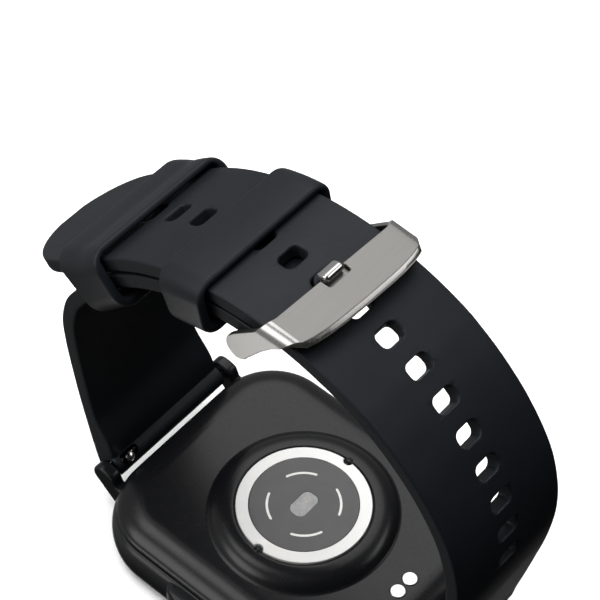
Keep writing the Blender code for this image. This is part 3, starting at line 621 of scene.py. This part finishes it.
def build_back_cover():
    """Hollow cover that turns from the case's outline into the round dome, with contact holes."""
    outer, dome, inner = cover_profile()
    rings = [rounded_rectangle(g, z) for g, z in outer]
    rings += [circle(r, z) for r, z in dome]
    rings += [rounded_rectangle(g, z) for g, z in inner]
    cover = loft("back_shell", rings, True)
    hole = CONTACT_RADIUS + 0.05 * MM
    flared = hole + 0.06 * MM
    profile = [(hole, 7 * MM), (hole, BACK_PLANE - 0.1 * MM)]
    profile += [(flared, BACK_PLANE + 0.02 * MM), (flared, 11 * MM)]
    boolean(cover, [turned("hole", profile, place, steps=40) for place in contact_places()])
    shape = [(0.64 * MM, 10.3 * MM), (0.64 * MM, RING_TOP - 0.3 * MM)]
    shape += [(0.45 * MM, RING_TOP - 0.14 * MM), (0.02 * MM, RING_TOP - 0.1 * MM)]
    tab_x = RING_OUTER + 0.15 * MM
    tabs = [turned("tab", shape, (side * tab_x, 0, 0), steps=28) for side in (1, -1)]
    boolean(cover, tabs, "UNION")
    finish_piece(cover, "case", "cover_black", ["back_cover"], 40)


def build_glass():
    """Cover glass with an edge that rounds down to the outer face."""
    edge = GLASS_HIGH.x - CORNER_X
    rings = []
    for step in range(7):
        turn = math.radians(90 * step / 6)
        inset, z = 0.8 * MM * (1 - math.sin(turn)), 0.5 * MM * (1 - math.cos(turn))
        rings.append(rounded_rectangle(edge - inset, z))
    rings.append(rounded_rectangle(edge, GLASS_HIGH.z))
    glass = loft("display_glass", rings)
    finish_piece(glass, "case", "glass", ["cover_glass"], 50)


# ======================== sensor

def build_sensor_ring():
    """Flat ring with a round notch on each side, where the cover's tabs reach in."""
    low, high = (7.66 * MM, RING_LOW.z), (RING_OUTER, RING_TOP)
    ring = turned_ring("electrode_ring", rounded_section(low, high, 0.09 * MM, 3))
    shape = [(0.72 * MM, 10 * MM), (0.72 * MM, RING_TOP - 0.1 * MM)]
    shape += [(0.82 * MM, RING_TOP + 0.02 * MM), (0.82 * MM, 13 * MM)]
    notch_x = RING_OUTER + 0.05 * MM
    boolean(ring, [turned("notch", shape, (side * notch_x, 0, 0), steps=32) for side in (1, -1)])
    finish_piece(ring, "case", "sensor_ring", ["sensor_ring"], 30)


def build_lens():
    """Lens disc, the window let into its middle, and one light emitter on the window."""
    top = LENS_HIGH.z
    edge = LENS_HIGH.y + 0.1 * MM
    profile = [(edge, LENS_LOW.z), (edge, top - 0.09 * MM)]
    profile += [(edge - 0.02 * MM, top - 0.02 * MM), (edge - 0.09 * MM, top)]
    lens = turned("sensor_disc", profile, (0, 0, 0), steps=128)
    outline = rounded_section((-2.12 * MM, -1.32 * MM), (2.12 * MM, 1.32 * MM), 1.02 * MM, 8)
    cutter = loft("cut", [[(x, y, z) for x, y in outline] for z in (10 * MM, 13 * MM)])
    boolean(lens, [cutter])
    finish_piece(lens, "case", "lens", ["sensor_lens"])
    half_x, half_y = 2.08, 1.28
    low, high = (-half_x * MM, -half_y * MM), (half_x * MM, half_y * MM)
    outline = rounded_section(low, high, 1.0 * MM, 8)
    rings = []
    for grow, z in ((0.0, top - MM), (0.0, top - 0.04 * MM), (-0.04, top - 0.01 * MM)):
        rings.append([(x * (1 + grow / half_x), y * (1 + grow / half_y), z) for x, y in outline])
    window = loft("light_window", rings)
    finish_piece(window, "case", "window", ["sensor_window"])
    profile = ((0.13 * MM, top - 0.05 * MM), (0.13 * MM, top + 0.004 * MM))
    die = turned("led_die", profile, (0.54 * MM, 0, 0), steps=20)
    finish_piece(die, "case", "window", look="led")


def build_light_arcs():
    """Four printed arcs on the lens, each a thin raised band with round ends."""
    top = LENS_HIGH.z + 0.012 * MM
    radius, half, spread = 5.1 * MM, 0.17 * MM, 23.5
    for number, middle in enumerate((45, 135, 225, 315), 1):
        outer = arc((0, 0), radius + half, middle - spread, middle + spread, 24)
        inner = arc((0, 0), radius - half, middle + spread, middle - spread, 24)
        caps = []
        for degrees, start in ((middle + spread, 0), (middle - spread, 180)):
            turn = math.radians(degrees)
            end = (radius * math.cos(turn), radius * math.sin(turn))
            caps.append(arc(end, half, degrees + start, degrees + start + 180, 6)[1:-1])
        outline = [*outer, *caps[0], *inner, *caps[1]]
        rings = [[(x, y, z) for x, y in outline] for z in (LENS_HIGH.z - 0.05 * MM, top)]
        mark = loft(f"light_arc_{number}", rings)
        finish_piece(mark, "case", "window", look="arc_white")


def build_contacts():
    """Two round pins with softly broken edges."""
    for number, place in enumerate(contact_places(), 1):
        node = f"charge_contact_{number}"
        low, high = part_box(node)
        radius = CONTACT_RADIUS
        profile = [(0.5 * MM, low.z), (0.5 * MM, 9.0 * MM), (radius, 9.0 * MM)]
        profile += [(radius, high.z - 0.07 * MM), (radius - 0.02 * MM, high.z - 0.03 * MM)]
        profile += [(radius - 0.08 * MM, high.z)]
        pin = turned(f"contact_pin_{number}", profile, place, steps=40)
        finish_piece(pin, "case", "contact", [node], 50)


# ======================== crown

def build_crown():
    """Turned knob with cosine-shaped teeth round its rim."""
    teeth, depth = 30, 0.16 * MM
    radius = (CAP_HIGH.z - CAP_LOW.z) / 2

    def knurl(angle, reach):
        if reach < radius - 0.2 * MM:
            return reach
        return reach - depth * (0.5 - 0.5 * math.cos(teeth * angle)) ** 2

    inner, outer = CAP_HIGH.x, CAP_LOW.x
    centre = (0, 0, CROWN_Z)
    guide = [(0.02 * MM, inner), (radius - 0.45 * MM, inner)]
    guide += [(radius - 0.12 * MM, inner - 0.12 * MM), (radius, inner - 0.3 * MM)]
    guide += [(radius, outer + 0.45 * MM), (radius - 0.12 * MM, outer + 0.15 * MM)]
    guide += [(radius - 0.45 * MM, outer + 0.02 * MM), (radius - 0.8 * MM, outer)]
    guide += [(radius - 1.0 * MM, outer + 0.12 * MM)]
    guide += [(0.4 * MM, outer + 0.1 * MM), (0.02 * MM, outer + 0.1 * MM)]
    cap = turned("crown_knob", guide, centre, "X", teeth * 10, knurl)
    stem_bore = ((0.9 * MM, -22.5 * MM), (0.9 * MM, -20 * MM))
    boolean(cap, [turned("bore", stem_bore, centre, "X", 24)])
    finish_piece(cap, "crown", "case_black", ["crown_cap"], 40)


# ======================== strap

def long_strap_path():
    """Outer face from the 6 o'clock lugs up, over the top arc, and on to the free tip."""
    side = [(-28.4, 5.8), (-28.9, 8.6), (-29.9, 13.0), (-31.2, 19.0), (-32.6, 26.0), (-33.3, 33.0)]
    side += [(-32.8, 39.0), (-30.9, 45.2), (-27.0, 51.3), (-22.4, 56.0)]
    points = scaled(side)
    points.append(loop_point(LONG_RADIUS, 118))
    top = [loop_point(LONG_RADIUS, 118 - 2.0 * i) for i in range(1, 39)]
    tip = scaled(((32.2, 47.7), (36.8, 44.2), (41.6, 40.5)))
    return smooth_path(points, 8) + top + smooth_path([top[-1], *tip], 8)[1:]


def short_strap_path():
    """Outer face from the 12 o'clock lugs up and under the long strap to the buckle bar."""
    side = [(29.2, 5.8), (29.9, 8.6), (31.1, 13.4), (32.5, 19.0), (33.6, 25.0), (34.1, 30.5)]
    side += [(34.0, 34.5), (32.7, 39.3)]
    points = scaled(side)
    points.append(loop_point(SHORT_RADIUS, 30))
    top = [loop_point(SHORT_RADIUS, 30 + 2.0 * i) for i in range(1, 30)]
    return smooth_path(points, 8) + top + [loop_point(SHORT_RADIUS, BUCKLE_BAR_DEG + 2.0)]


def strap_outline(half_width, thickness):
    """(x, depth) points round a strap's section: flat faces, with edges that are softer inside."""
    w, t = half_width, thickness
    outer_edge = ((0.34, 0.0), (0.2, 0.025), (0.09, 0.09), (0.025, 0.2), (0.0, 0.34))
    inner_edge = ((0.0, 0.62), (0.05, 0.36), (0.17, 0.15), (0.36, 0.04), (0.6, 0.0))
    side = [(w - x * MM, -d * MM) for x, d in outer_edge]
    side += [(w - x * MM, d * MM - t) for x, d in inner_edge]
    across = 14
    shares = [1 - 2 * i / across for i in range(1, across)]
    inner = [(side[-1][0] * share, -t) for share in shares]
    outer = [(-side[0][0] * share, 0.0) for share in shares]
    return side + inner + [(-x, d) for x, d in reversed(side)] + outer


def strap_stations(path, side, tip_length):
    """(point, normal, distance) along a strap, closer together on an arched tip."""
    path = even_path(path, STATION)
    run = measured(path)
    stations = []
    for i, point in enumerate(path):
        if run[-1] - run[i] > tip_length * 1.02 or not tip_length:
            stations.append((point, outward(path, i, side), run[i]))
    if tip_length:
        for step in range(26):
            left = max(tip_length * (1 - math.sin(math.pi / 2 * step / 25)), 0.015 * MM)
            place = point_at(path, run, run[-1] - left)
            before = point_at(path, run, run[-1] - left - MM)
            normal = outward([before, place], 1, side)
            stations.append((place, normal, run[-1] - left))
    return stations, run[-1]


def strap_body(name, path, side, tip_length):
    """Strap along its outer face: thick and wide at the lugs, and round at a tip if it has one."""
    stations, total = strap_stations(path, side, tip_length)
    rings = []
    for point, normal, distance in stations:
        swell = 1 - ease((distance - SWELL_START) / SWELL_LENGTH)
        thickness = STRAP_THICKNESS + (STRAP_END_THICKNESS - STRAP_THICKNESS) * swell
        flare = 1 - ease(distance / FLARE_LENGTH)
        half = STRAP_HALF_WIDTH + (STRAP_END_HALF_WIDTH - STRAP_HALF_WIDTH) * flare
        left = total - distance
        squeeze = 0.0
        if left < tip_length:
            half *= math.sqrt(1 - (1 - (left + TIP_FLAT * 0.3) / tip_length) ** 2)
        if tip_length and left < TIP_EDGE:
            squeeze = TIP_EDGE - math.sqrt(TIP_EDGE**2 - (TIP_EDGE - left) ** 2)
        base = Vector((0, *point)) - normal * squeeze
        ring = []
        for x, depth in strap_outline(max(half, 0.62 * MM), thickness - 2 * squeeze):
            ring.append(base + Vector((x, 0, 0)) + normal * depth)
        rings.append(ring)
    return loft(name, rings)


def hole_cutter(point, normal, thickness):
    """Rounded rectangle that opens out softly at both faces, so the hole's rims are round."""
    along = normal.cross(Vector((1, 0, 0)))
    base = Vector((0, *point))
    flare = ((0.5, 0.62), (0.0, 0.26), (-0.05, 0.16), (-0.13, 0.07), (-0.26, 0.015), (-0.4, 0.0))
    levels = scaled(flare)
    levels += [(-thickness - depth, grow) for depth, grow in reversed(levels)]
    rings = []
    for depth, grow in levels:
        half_x, half_y = HOLE_SIZE[0] / 2 + grow, HOLE_SIZE[1] / 2 + grow
        shape = rounded_section((-half_x, -half_y), (half_x, half_y), HOLE_CORNER + grow, 6)
        rings.append([base + Vector((x, 0, 0)) + along * a + normal * depth for x, a in shape])
    return loft("hole", rings)


def strap_eye(strap, side_y):
    """Round end about the spring bar, with its bore and the window for the release knob."""
    centre = (0, side_y * BAR_Y, BAR_Z)
    half = STRAP_END_HALF_WIDTH
    end = half - 0.3 * MM
    rim = STRAP_EYE_RADIUS - 0.3 * MM
    profile = ((rim, -half), (STRAP_EYE_RADIUS, -end), (STRAP_EYE_RADIUS, end), (rim, half))
    boolean(strap, [turned("eye", profile, centre, "X", 48)], "UNION")
    bore = turned("bore", ((STRAP_BORE, -half - MM), (STRAP_BORE, half + MM)), centre, "X", 40)
    low = (KNOB_X - 1.0 * MM, -0.85 * MM)
    high = (KNOB_X + RELEASE_TRAVEL + 1.0 * MM, 0.85 * MM)
    outline = rounded_section(low, high, 0.5 * MM, 6)
    window = loft("window", [[(x, y, z) for x, y in outline] for z in (0.0, 6 * MM)])
    window.data.transform(Matrix.Translation(centre) @ Matrix.Rotation(side_y * KNOB_TILT, 4, "X"))
    boolean(strap, [bore, window])


def on_flank(normal):
    """Whether a face belongs to the strap's moulded sides, which are duller than its faces."""
    return abs(normal.x) > 0.75


def build_long_strap():
    """Strap with the row of holes, its eye, and duller sides."""
    path = long_strap_path()
    strap = strap_body("strap_6_oclock", path, -1, TIP_LENGTH)
    fine = even_path(path, 0.3 * MM)
    run = measured(fine)
    cutters = []
    for number in range(HOLE_COUNT):
        distance = run[-1] - FIRST_HOLE_FROM_TIP - number * HOLE_PITCH
        point = point_at(fine, run, distance)
        index = min(range(len(run)), key=lambda i: abs(run[i] - distance))
        cutters.append(hole_cutter(point, outward(fine, index, -1), STRAP_THICKNESS))
    boolean(strap, [joined("holes", cutters)], solver="MANIFOLD")
    strap_eye(strap, -1)
    finish_piece(strap, "strap_long", "silicone", ["strap_long"], 42)
    second_finish(strap, "flank", on_flank)


def build_short_strap():
    """Strap with its eye, and at the other end the buckle bar's bore and the tongue's slot."""
    strap = strap_body("strap_12_oclock", short_strap_path(), 1, 0.0)
    strap_eye(strap, 1)
    y, z = BUCKLE_BAR.y, BUCKLE_BAR.z
    half = STRAP_HALF_WIDTH + MM
    bore = turned("bore", ((0.72 * MM, -half), (0.72 * MM, half)), (0, y, z), "X", 32)
    low, high = (-TONGUE_SLOT / 2, y - 4 * MM), (TONGUE_SLOT / 2, y + 1.9 * MM)
    outline = rounded_section(low, high, 0.7 * MM, 5)
    slot = loft("slot", [[(a, b, c) for a, b in outline] for c in (z - 3 * MM, z + 3 * MM)])
    boolean(strap, [bore, slot])
    finish_piece(strap, "strap_short", "silicone", ["strap_short"], 42)
    second_finish(strap, "flank", on_flank)


# ======================== keepers

def keeper_ring(grow, degrees, rise):
    """Closed line round both straps at an angle of the loop, grown outwards; rise lifts its top."""
    half_x = STRAP_HALF_WIDTH + KEEPER_SIDE_GAP + grow
    low = SHORT_RADIUS - STRAP_THICKNESS - KEEPER_LOW_GAP - KEEPER_DROP - grow
    high = LONG_RADIUS + KEEPER_TOP_GAP + rise + grow * KEEPER_TOP_WALL_SHARE
    radius = 0.85 * MM + 1.4 * grow
    points = []
    for x, reach in rounded_section((-half_x, low), (half_x, high), radius, 8):
        points.append((x, *loop_point(reach, degrees)))
    return points


def with_flat_steps(points, steps):
    """Splits the long straight runs of a closed outline."""
    result = []
    for i, point in enumerate(points):
        nxt = points[(i + 1) % len(points)]
        result.append(point)
        if math.dist(point, nxt) > 2 * MM:
            for step in range(1, steps):
                t = step / steps
                result.append(tuple(a + (b - a) * t for a, b in zip(point, nxt)))
    return result


def build_keepers():
    """Loops round both straps, with round edges and a slightly domed face."""
    edge = 0.62 * MM
    crown = 0.12 * MM
    for number, middle in enumerate(KEEPER_DEG, 1):
        half = math.radians(KEEPER_SPAN_DEG[number - 1] / 2) * LONG_RADIUS
        section = with_flat_steps(rounded_section((-half, 0.0), (half, KEEPER_WALL), edge, 6), 8)
        rings = []
        for along, grow in section:
            share = along / half
            droop = crown * share**2 * grow / KEEPER_WALL
            degrees = middle + math.degrees(along / LONG_RADIUS)
            rise = KEEPER_SLACK[number - 1] + KEEPER_RISE[number - 1] * max(-share, 0)
            rings.append(keeper_ring(grow - droop, degrees, rise))
        piece = loft(f"keeper_loop_{number}", rings, True)
        finish_piece(piece, f"keeper_{number}", "silicone", [f"keeper_{number}"], 60)


# ======================== buckle

HALF_SHEET = 0.45 * MM
# The sizes below are in millimetres; each edge is a short guide of (place, y) pairs.
LOBE_Y = 0.05
LOBE_Z = 58.28
LOBE_RADIUS = 1.7
ARM_BOTTOM = LOBE_Z - LOBE_RADIUS
ARM_TOP = 64.0
ARM_FRONT = ((57.3, -1.25), (59.0, -2.5), (60.8, -3.75), (62.7, -5.35), (ARM_TOP, -6.85))
ARM_REAR = ((58.3, 1.75), (59.1, 1.68), (59.6, 1.45), (60.8, 0.45), (ARM_TOP, -2.9))
BEND_FRONT = ((0, -6.85), (40, -8.15), (90, -9.35))
BEND_REAR = ((0, -2.9), (40, -3.57), (90, -4.13))
PLATE_FRONT = ((0, -10.15), (4.2, -10.1), (6.2, -10.0), (8.4, -9.72), (9.4, -9.48))
BUCKLE_LEAN = 0.045
ARM_LEVELS = (59.0, 59.35, 59.6, 60.1, 60.8, 61.4, 62.0, 62.7, 63.4, 63.9)
PLATE_PLACES = (9.4, 8.9, 8.4, 7.9, 7.4, 6.8, 6.2, 5.2, 4.2, 3.1, 2.0, 0.0)


def arm_edges(level):
    """(front, rear) of an arm at a height: two sloping edges that run into a round lobe."""
    reach = math.sqrt(max(LOBE_RADIUS**2 - (level - LOBE_Z) ** 2, 0.04))
    front, rear = LOBE_Y - reach, LOBE_Y + reach
    if level > ARM_FRONT[0][0]:
        front = min(interpolate(ARM_FRONT, level), front if level < LOBE_Z else 0.0)
    if level > ARM_REAR[0][0]:
        rear = interpolate(ARM_REAR, level)
    return front * MM, rear * MM


def buckle_stations():
    """(x, z, turn, front, rear) along one half: arm, then shoulder, then plate to its middle."""
    arm_x, plate_z = BUCKLE_OUTER_X - HALF_SHEET + 0.2 * MM, PLATE_TOP - HALF_SHEET
    bend = 1.3 * MM
    stations = []
    turns = [math.radians(9 * step) for step in range(11)]
    lobe_levels = [ARM_BOTTOM + LOBE_RADIUS * (1 - math.cos(turn)) for turn in turns]
    for level in (*lobe_levels, *ARM_LEVELS):
        stations.append((arm_x, level * MM, 0.0, *arm_edges(level)))
    for step in range(13):
        degrees = 90 * step / 12
        turn = math.radians(degrees)
        x = arm_x - bend + bend * math.cos(turn)
        z = plate_z - bend + bend * math.sin(turn)
        front = interpolate(BEND_FRONT, degrees) * MM
        rear = interpolate(BEND_REAR, degrees) * MM
        stations.append((x, z, turn, front, rear))
    for x in PLATE_PLACES:
        front = interpolate(PLATE_FRONT, x) * MM
        stations.append((x * MM, plate_z, math.pi / 2, front, PLATE_REAR_Y))
    return stations


def buckle_ring(station, side):
    """Section across the frame: soft edges, and a bevel over a fine groove along the plate's front."""
    x, z, turn, front, rear = station
    out = Vector((side * math.cos(turn), 0, math.sin(turn)))
    plate = ease(math.sin(turn))
    half = HALF_SHEET
    bevel = (0.12 + 0.42 * plate) * MM
    groove = 0.1 * MM * plate
    width = rear - front
    soft = min(0.14 * MM, width * 0.2)
    bevel = min(bevel, width * 0.3)
    outline = [(rear, -half + soft), (rear, half - soft)]
    outline += [(rear - 0.3 * soft, half - 0.3 * soft), (rear - soft, half)]
    outline += [(front + bevel * 1.25, half), (front + bevel, half - 0.03 * MM)]
    outline += [(front + 0.15 * bevel, half - 0.62 * bevel), (front + 0.02 * MM, half - 0.75 * bevel)]
    outline += [(front + groove, half - 0.46 * MM), (front + groove, half - 0.51 * MM)]
    lip = half - 0.62 * MM
    drop = -half + soft
    outline += [(front, half - 0.55 * MM), (front, drop + (lip - drop) * plate)]
    corner_y = front + (0.3 * soft) * (1 - plate) + 0.16 * MM * plate
    outline += [(corner_y, -half + 0.3 * soft + 0.12 * MM * plate)]
    outline += [(front + soft + 0.75 * MM * plate, -half), (rear - soft, -half)]
    outline += [(rear - 0.3 * soft, -half + 0.3 * soft)]
    points = []
    for y, depth in outline:
        dip = 0.3 * MM * plate * (rear - y) / width
        point = Vector((side * x, y, z)) + out * (depth - dip)
        point.y -= BUCKLE_LEAN * point.x
        points.append(point)
    return points


def build_buckle_frame():
    """Bent plate between two arms, bored for the bar and notched where the tongue rests."""
    half = buckle_stations()
    rings = [buckle_ring(station, 1) for station in half]
    rings += [buckle_ring(station, -1) for station in reversed(half[:-1])]
    piece = loft("buckle_body", rings)
    y, z = BUCKLE_BAR.y, BUCKLE_BAR.z
    reach = 11.0 * MM
    bore = turned("bore", ((0.7 * MM, -reach), (0.7 * MM, reach)), (0, y, z), "X", 32)
    half_notch = TONGUE_WIDTH / 2 + 0.22 * MM
    outline = rounded_section((-half_notch, -5.6 * MM), (half_notch, -3 * MM), 0.35 * MM, 5)
    rings = []
    for level, grow in ((65.05, 0.0), (65.5, 0.03), (65.66, 0.12), (66.2, 0.6)):
        spread = 1 + grow * MM / half_notch
        rings.append([(a * spread, b - grow * MM * (b < -5 * MM), level * MM) for a, b in outline])
    boolean(piece, [bore, loft("notch", rings)])
    finish_piece(piece, "buckle_frame", "brushed_steel", ["buckle_frame"], 26)

    # front bevel and shoulder faces: smoother polish, and a lighter steel colour that paints their
    # highlight
    def polished_with_painted_highlight(normal):
        return normal.z > 0.2 and (-0.75 < normal.y < -0.3 or abs(normal.x) > 0.15)

    second_finish(piece, "steel_edge_painted_highlight", polished_with_painted_highlight)


def build_tongue():
    """Bent pin, round at its tip, on a cylindrical eye about the buckle bar."""
    guide = [(-1.15, 60.1), (-2.15, 60.05), (-2.9, 60.8), (-3.0, 62.4), (-3.1, 64.3)]
    guide += [(-3.55, 65.45), (-4.95, 65.85)]
    path = even_path(smooth_path(scaled(guide), 8), 0.25 * MM)
    run = measured(path)
    rings = []
    for i, point in enumerate(path):
        normal = outward(path, i, -1)
        left = run[-1] - run[i]
        shrink = 1.0
        if left < 0.45 * MM:
            shrink = math.sqrt(max(1 - (1 - left / (0.45 * MM)) ** 2, 0.04))
        half_w = TONGUE_WIDTH / 2 * (0.75 + 0.25 * shrink)
        half_t = TONGUE_THICKNESS / 2 * shrink
        corner = min(0.42 * MM, half_t * 0.9)
        section = rounded_section((-half_w, -half_t), (half_w, half_t), corner, 5)
        rings.append([Vector((x, *point)) + normal * depth for x, depth in section])
    blade = loft("tongue_pin", rings)
    section = [(1.05, -1.45), (1.05, 1.45), (0.95, 1.58), (0.72, 1.6)]
    section += [(0.7, 1.5), (0.7, -1.5), (0.72, -1.6), (0.95, -1.58)]
    turn = Matrix.Translation(BUCKLE_BAR) @ Matrix.Rotation(math.pi / 2, 4, "Y")
    eye_rings = []
    for radius, height in scaled(section):
        eye_rings.append([turn @ Vector(point) for point in circle(radius, height, 48)])
    boolean(blade, [loft("eye", eye_rings, True)], "UNION")
    finish_piece(blade, "buckle_tongue", "polished_steel", ["buckle_tongue"], 45)


def build_release_pins():
    """Sliding tips of the spring bars, each with the knob that a fingernail pulls."""
    profile = [(0.25, -12.3), (0.4, -12.15), (0.4, -10.85), (0.65, -10.8), (0.75, -10.7)]
    profile += [(0.75, -8.2), (0.65, -8.1), (0.4, -8.1), (0.4, -5.2)]
    shape = [(0.45, 0.2), (0.45, 2.15), (0.55, 2.25), (0.68, 2.35), (0.7, 2.5)]
    shape += [(0.7, 2.8), (0.62, 3.0), (0.4, 3.1)]
    for side_y, clock in ((1, "12"), (-1, "6")):
        centre = Vector((0, side_y * BAR_Y, BAR_Z))
        pin = turned(f"release_bar_{clock}", scaled(profile), centre, "X", 32)
        knob = turned("knob", scaled(shape), (0, 0, 0), "Z", 28)
        place = Matrix.Translation(centre + Vector((KNOB_X, 0, 0)))
        knob.data.transform(place @ Matrix.Rotation(side_y * KNOB_TILT, 4, "X"))
        boolean(pin, [knob], "UNION")
        node = f"release_pin_{clock}"
        finish_piece(pin, node, "polished_steel", [node], 40)


# ======================== carried-over CAD nodes

def dress_cad_nodes():
    """Gives every CAD node the material of its slot; the pieces above replace some of them."""
    slots = {part["node"]: part["material_slot"] for part in frame["record"]["subparts"]}
    for name, node in NODES.items():
        node.data.materials.clear()
        node.data.materials.append(MATERIALS[slots[name]])


# ======================== stage

def build_floor():
    bm = bmesh.new()
    bmesh.ops.create_grid(bm, x_segments=1, y_segments=1, size=3.0)
    floor = mesh_object("studio_floor", bm)
    floor.location.z = -0.02 * MM
    made = new_material("floor_white", (0.9, 0.9, 0.9), 0.7, Specular_IOR_Level=0.1)
    vary(made, noise_at(made, 30), 0.65, 0.75)
    floor.data.materials.append(made)
    floor.visible_glossy = False
    floor.visible_diffuse = False


def build_backdrop():
    """White shell far outside, seen by the camera only, behind the floor's edge."""
    bm = bmesh.new()
    bmesh.ops.create_uvsphere(bm, u_segments=48, v_segments=24, radius=2.9)
    shell = mesh_object("studio_backdrop", bm)
    made = new_material("backdrop_white", (0.0, 0.0, 0.0), 1.0)
    shader = made.node_tree.nodes["Principled BSDF"]
    shader.inputs["Emission Color"].default_value = (1.0, 1.0, 1.0, 1.0)
    shader.inputs["Emission Strength"].default_value = 1.0
    shell.data.materials.append(made)
    for ray in ("visible_diffuse", "visible_glossy", "visible_transmission", "visible_shadow"):
        setattr(shell, ray, False)


def add_light(name, shape, place, target, size, power, mirrored):
    """Area light that shows only in reflections if mirrored, and else only lights surfaces."""
    data = bpy.data.lights.new(name, "AREA")
    data.shape = shape
    data.size = size
    data.energy = power
    light = bpy.data.objects.new(name, data)
    light.location = place
    light.rotation_euler = (Vector(target) - Vector(place)).to_track_quat("-Z", "Y").to_euler()
    light.visible_glossy = mirrored
    light.visible_diffuse = not mirrored
    light.visible_camera = False
    bpy.context.scene.collection.objects.link(light)


class Sky:
    """Softboxes and gradients of the studio, as brightness over direction."""

    def __init__(self):
        self.world = bpy.data.worlds.new("studio")
        self.world.use_nodes = True
        self.tree = self.world.node_tree
        place = self.tree.nodes.new("ShaderNodeTexCoord")
        self.direction = place.outputs["Generated"]
        split = self.tree.nodes.new("ShaderNodeSeparateXYZ")
        self.tree.links.new(self.direction, split.inputs[0])
        self.axes = split.outputs
        self.total = None

    def ramp(self, source, start, end, low, high):
        return map_range(self.tree, source, start, end, low, high, "SMOOTHSTEP")

    def combine(self, operation, first, second):
        node = self.tree.nodes.new("ShaderNodeMath")
        node.operation = operation
        self.tree.links.new(first, node.inputs[0])
        self.tree.links.new(second, node.inputs[1])
        return node.outputs[0]

    def add(self, value):
        self.total = value if self.total is None else self.combine("ADD", self.total, value)

    def softbox(self, towards, inner_deg, outer_deg, strength):
        """Round patch with a soft edge, bright inside one angle and gone outside the other."""
        dot = self.tree.nodes.new("ShaderNodeVectorMath")
        dot.operation = "DOT_PRODUCT"
        self.tree.links.new(self.direction, dot.inputs[0])
        dot.inputs[1].default_value = Vector(towards).normalized()
        edges = math.cos(math.radians(outer_deg)), math.cos(math.radians(inner_deg))
        self.add(self.ramp(dot.outputs["Value"], *edges, 0.0, strength))

    def finish(self):
        background = self.tree.nodes["Background"]
        background.inputs["Color"].default_value = (1.0, 1.0, 1.0, 1.0)
        self.tree.links.new(self.total, background.inputs["Strength"])
        bpy.context.scene.world = self.world


OVERHEAD_WATTS = 45.0
KICKER_WATTS = 0.0095
KICKER_PLACE = (-0.057, 0.026, 0.001)
SOFTBOXES = (
    # towards, inner angle, outer angle, brightness
    ((0.42, 0.36, 0.83), 18, 25, 1.22),
    ((-0.1, 0.407, 0.907), 7, 12, 2.6),
    ((-0.71, 0.41, 0.57), 12, 22, 2.3),
    ((0.6, -0.42, 0.68), 7, 11, 1.8),
    ((0.47, -0.59, 0.65), 5, 9, 1.5),
    ((0.466, 0.4, -0.79), 16, 26, 1.2),
)


def build_lights():
    """A sky that brightens towards +Y and upwards, round softboxes, and two lamps."""
    sky = Sky()
    across = sky.ramp(sky.axes[1], -0.6, 0.75, 0.02, 0.3)
    above = sky.ramp(sky.axes[2], -0.9, -0.38, 0.1, 1.0)
    sky.add(sky.combine("MULTIPLY", across, above))
    for box in SOFTBOXES:
        sky.softbox(*box)
    sky.finish()
    add_light("overhead", "SQUARE", (0.1, 0.15, 1.5), (0, 0, 0), 1.6, OVERHEAD_WATTS, False)
    kicker_target = (*KICKER_PLACE[:2], 1.0)
    add_light("kicker", "DISK", KICKER_PLACE, kicker_target, 0.036, KICKER_WATTS, True)


FOCAL_LENGTH = 131.4
SENSOR_WIDTH = 36.0
CAMERA_DISTANCE = 0.2998
SHIFT_LEFT = 0.00055
SHIFT_UP = 0.0279


def build_camera():
    """Looks down on the back cover from the crown side and the 6 o'clock end, as in the photograph."""
    back = Vector((-0.4663, -0.4069, 0.7855))
    right = Vector((0.6575, -0.7535, 0.0))
    up = Vector((0.5919, 0.5165, 0.6189))
    centre = Vector((0, 0, RING_TOP))
    data = bpy.data.cameras.new("camera")
    data.lens = FOCAL_LENGTH
    data.sensor_width = SENSOR_WIDTH
    data.clip_start = 0.01
    camera = bpy.data.objects.new("camera", data)
    place = centre + back * CAMERA_DISTANCE - right * SHIFT_LEFT + up * SHIFT_UP
    axes = Matrix((right, up, back)).transposed().to_4x4()
    camera.matrix_world = Matrix.Translation(place) @ axes
    bpy.context.scene.collection.objects.link(camera)
    bpy.context.scene.camera = camera


MATERIALS = make_materials()
build_camera()
dress_cad_nodes()
build_case()
build_back_cover()
build_glass()
build_sensor_ring()
build_lens()
build_light_arcs()
build_contacts()
build_crown()
build_long_strap()
build_short_strap()
build_keepers()
build_buckle_frame()
build_tongue()
build_release_pins()
build_floor()
build_backdrop()
build_lights()
bpy.context.scene.view_settings.view_transform = "Standard"
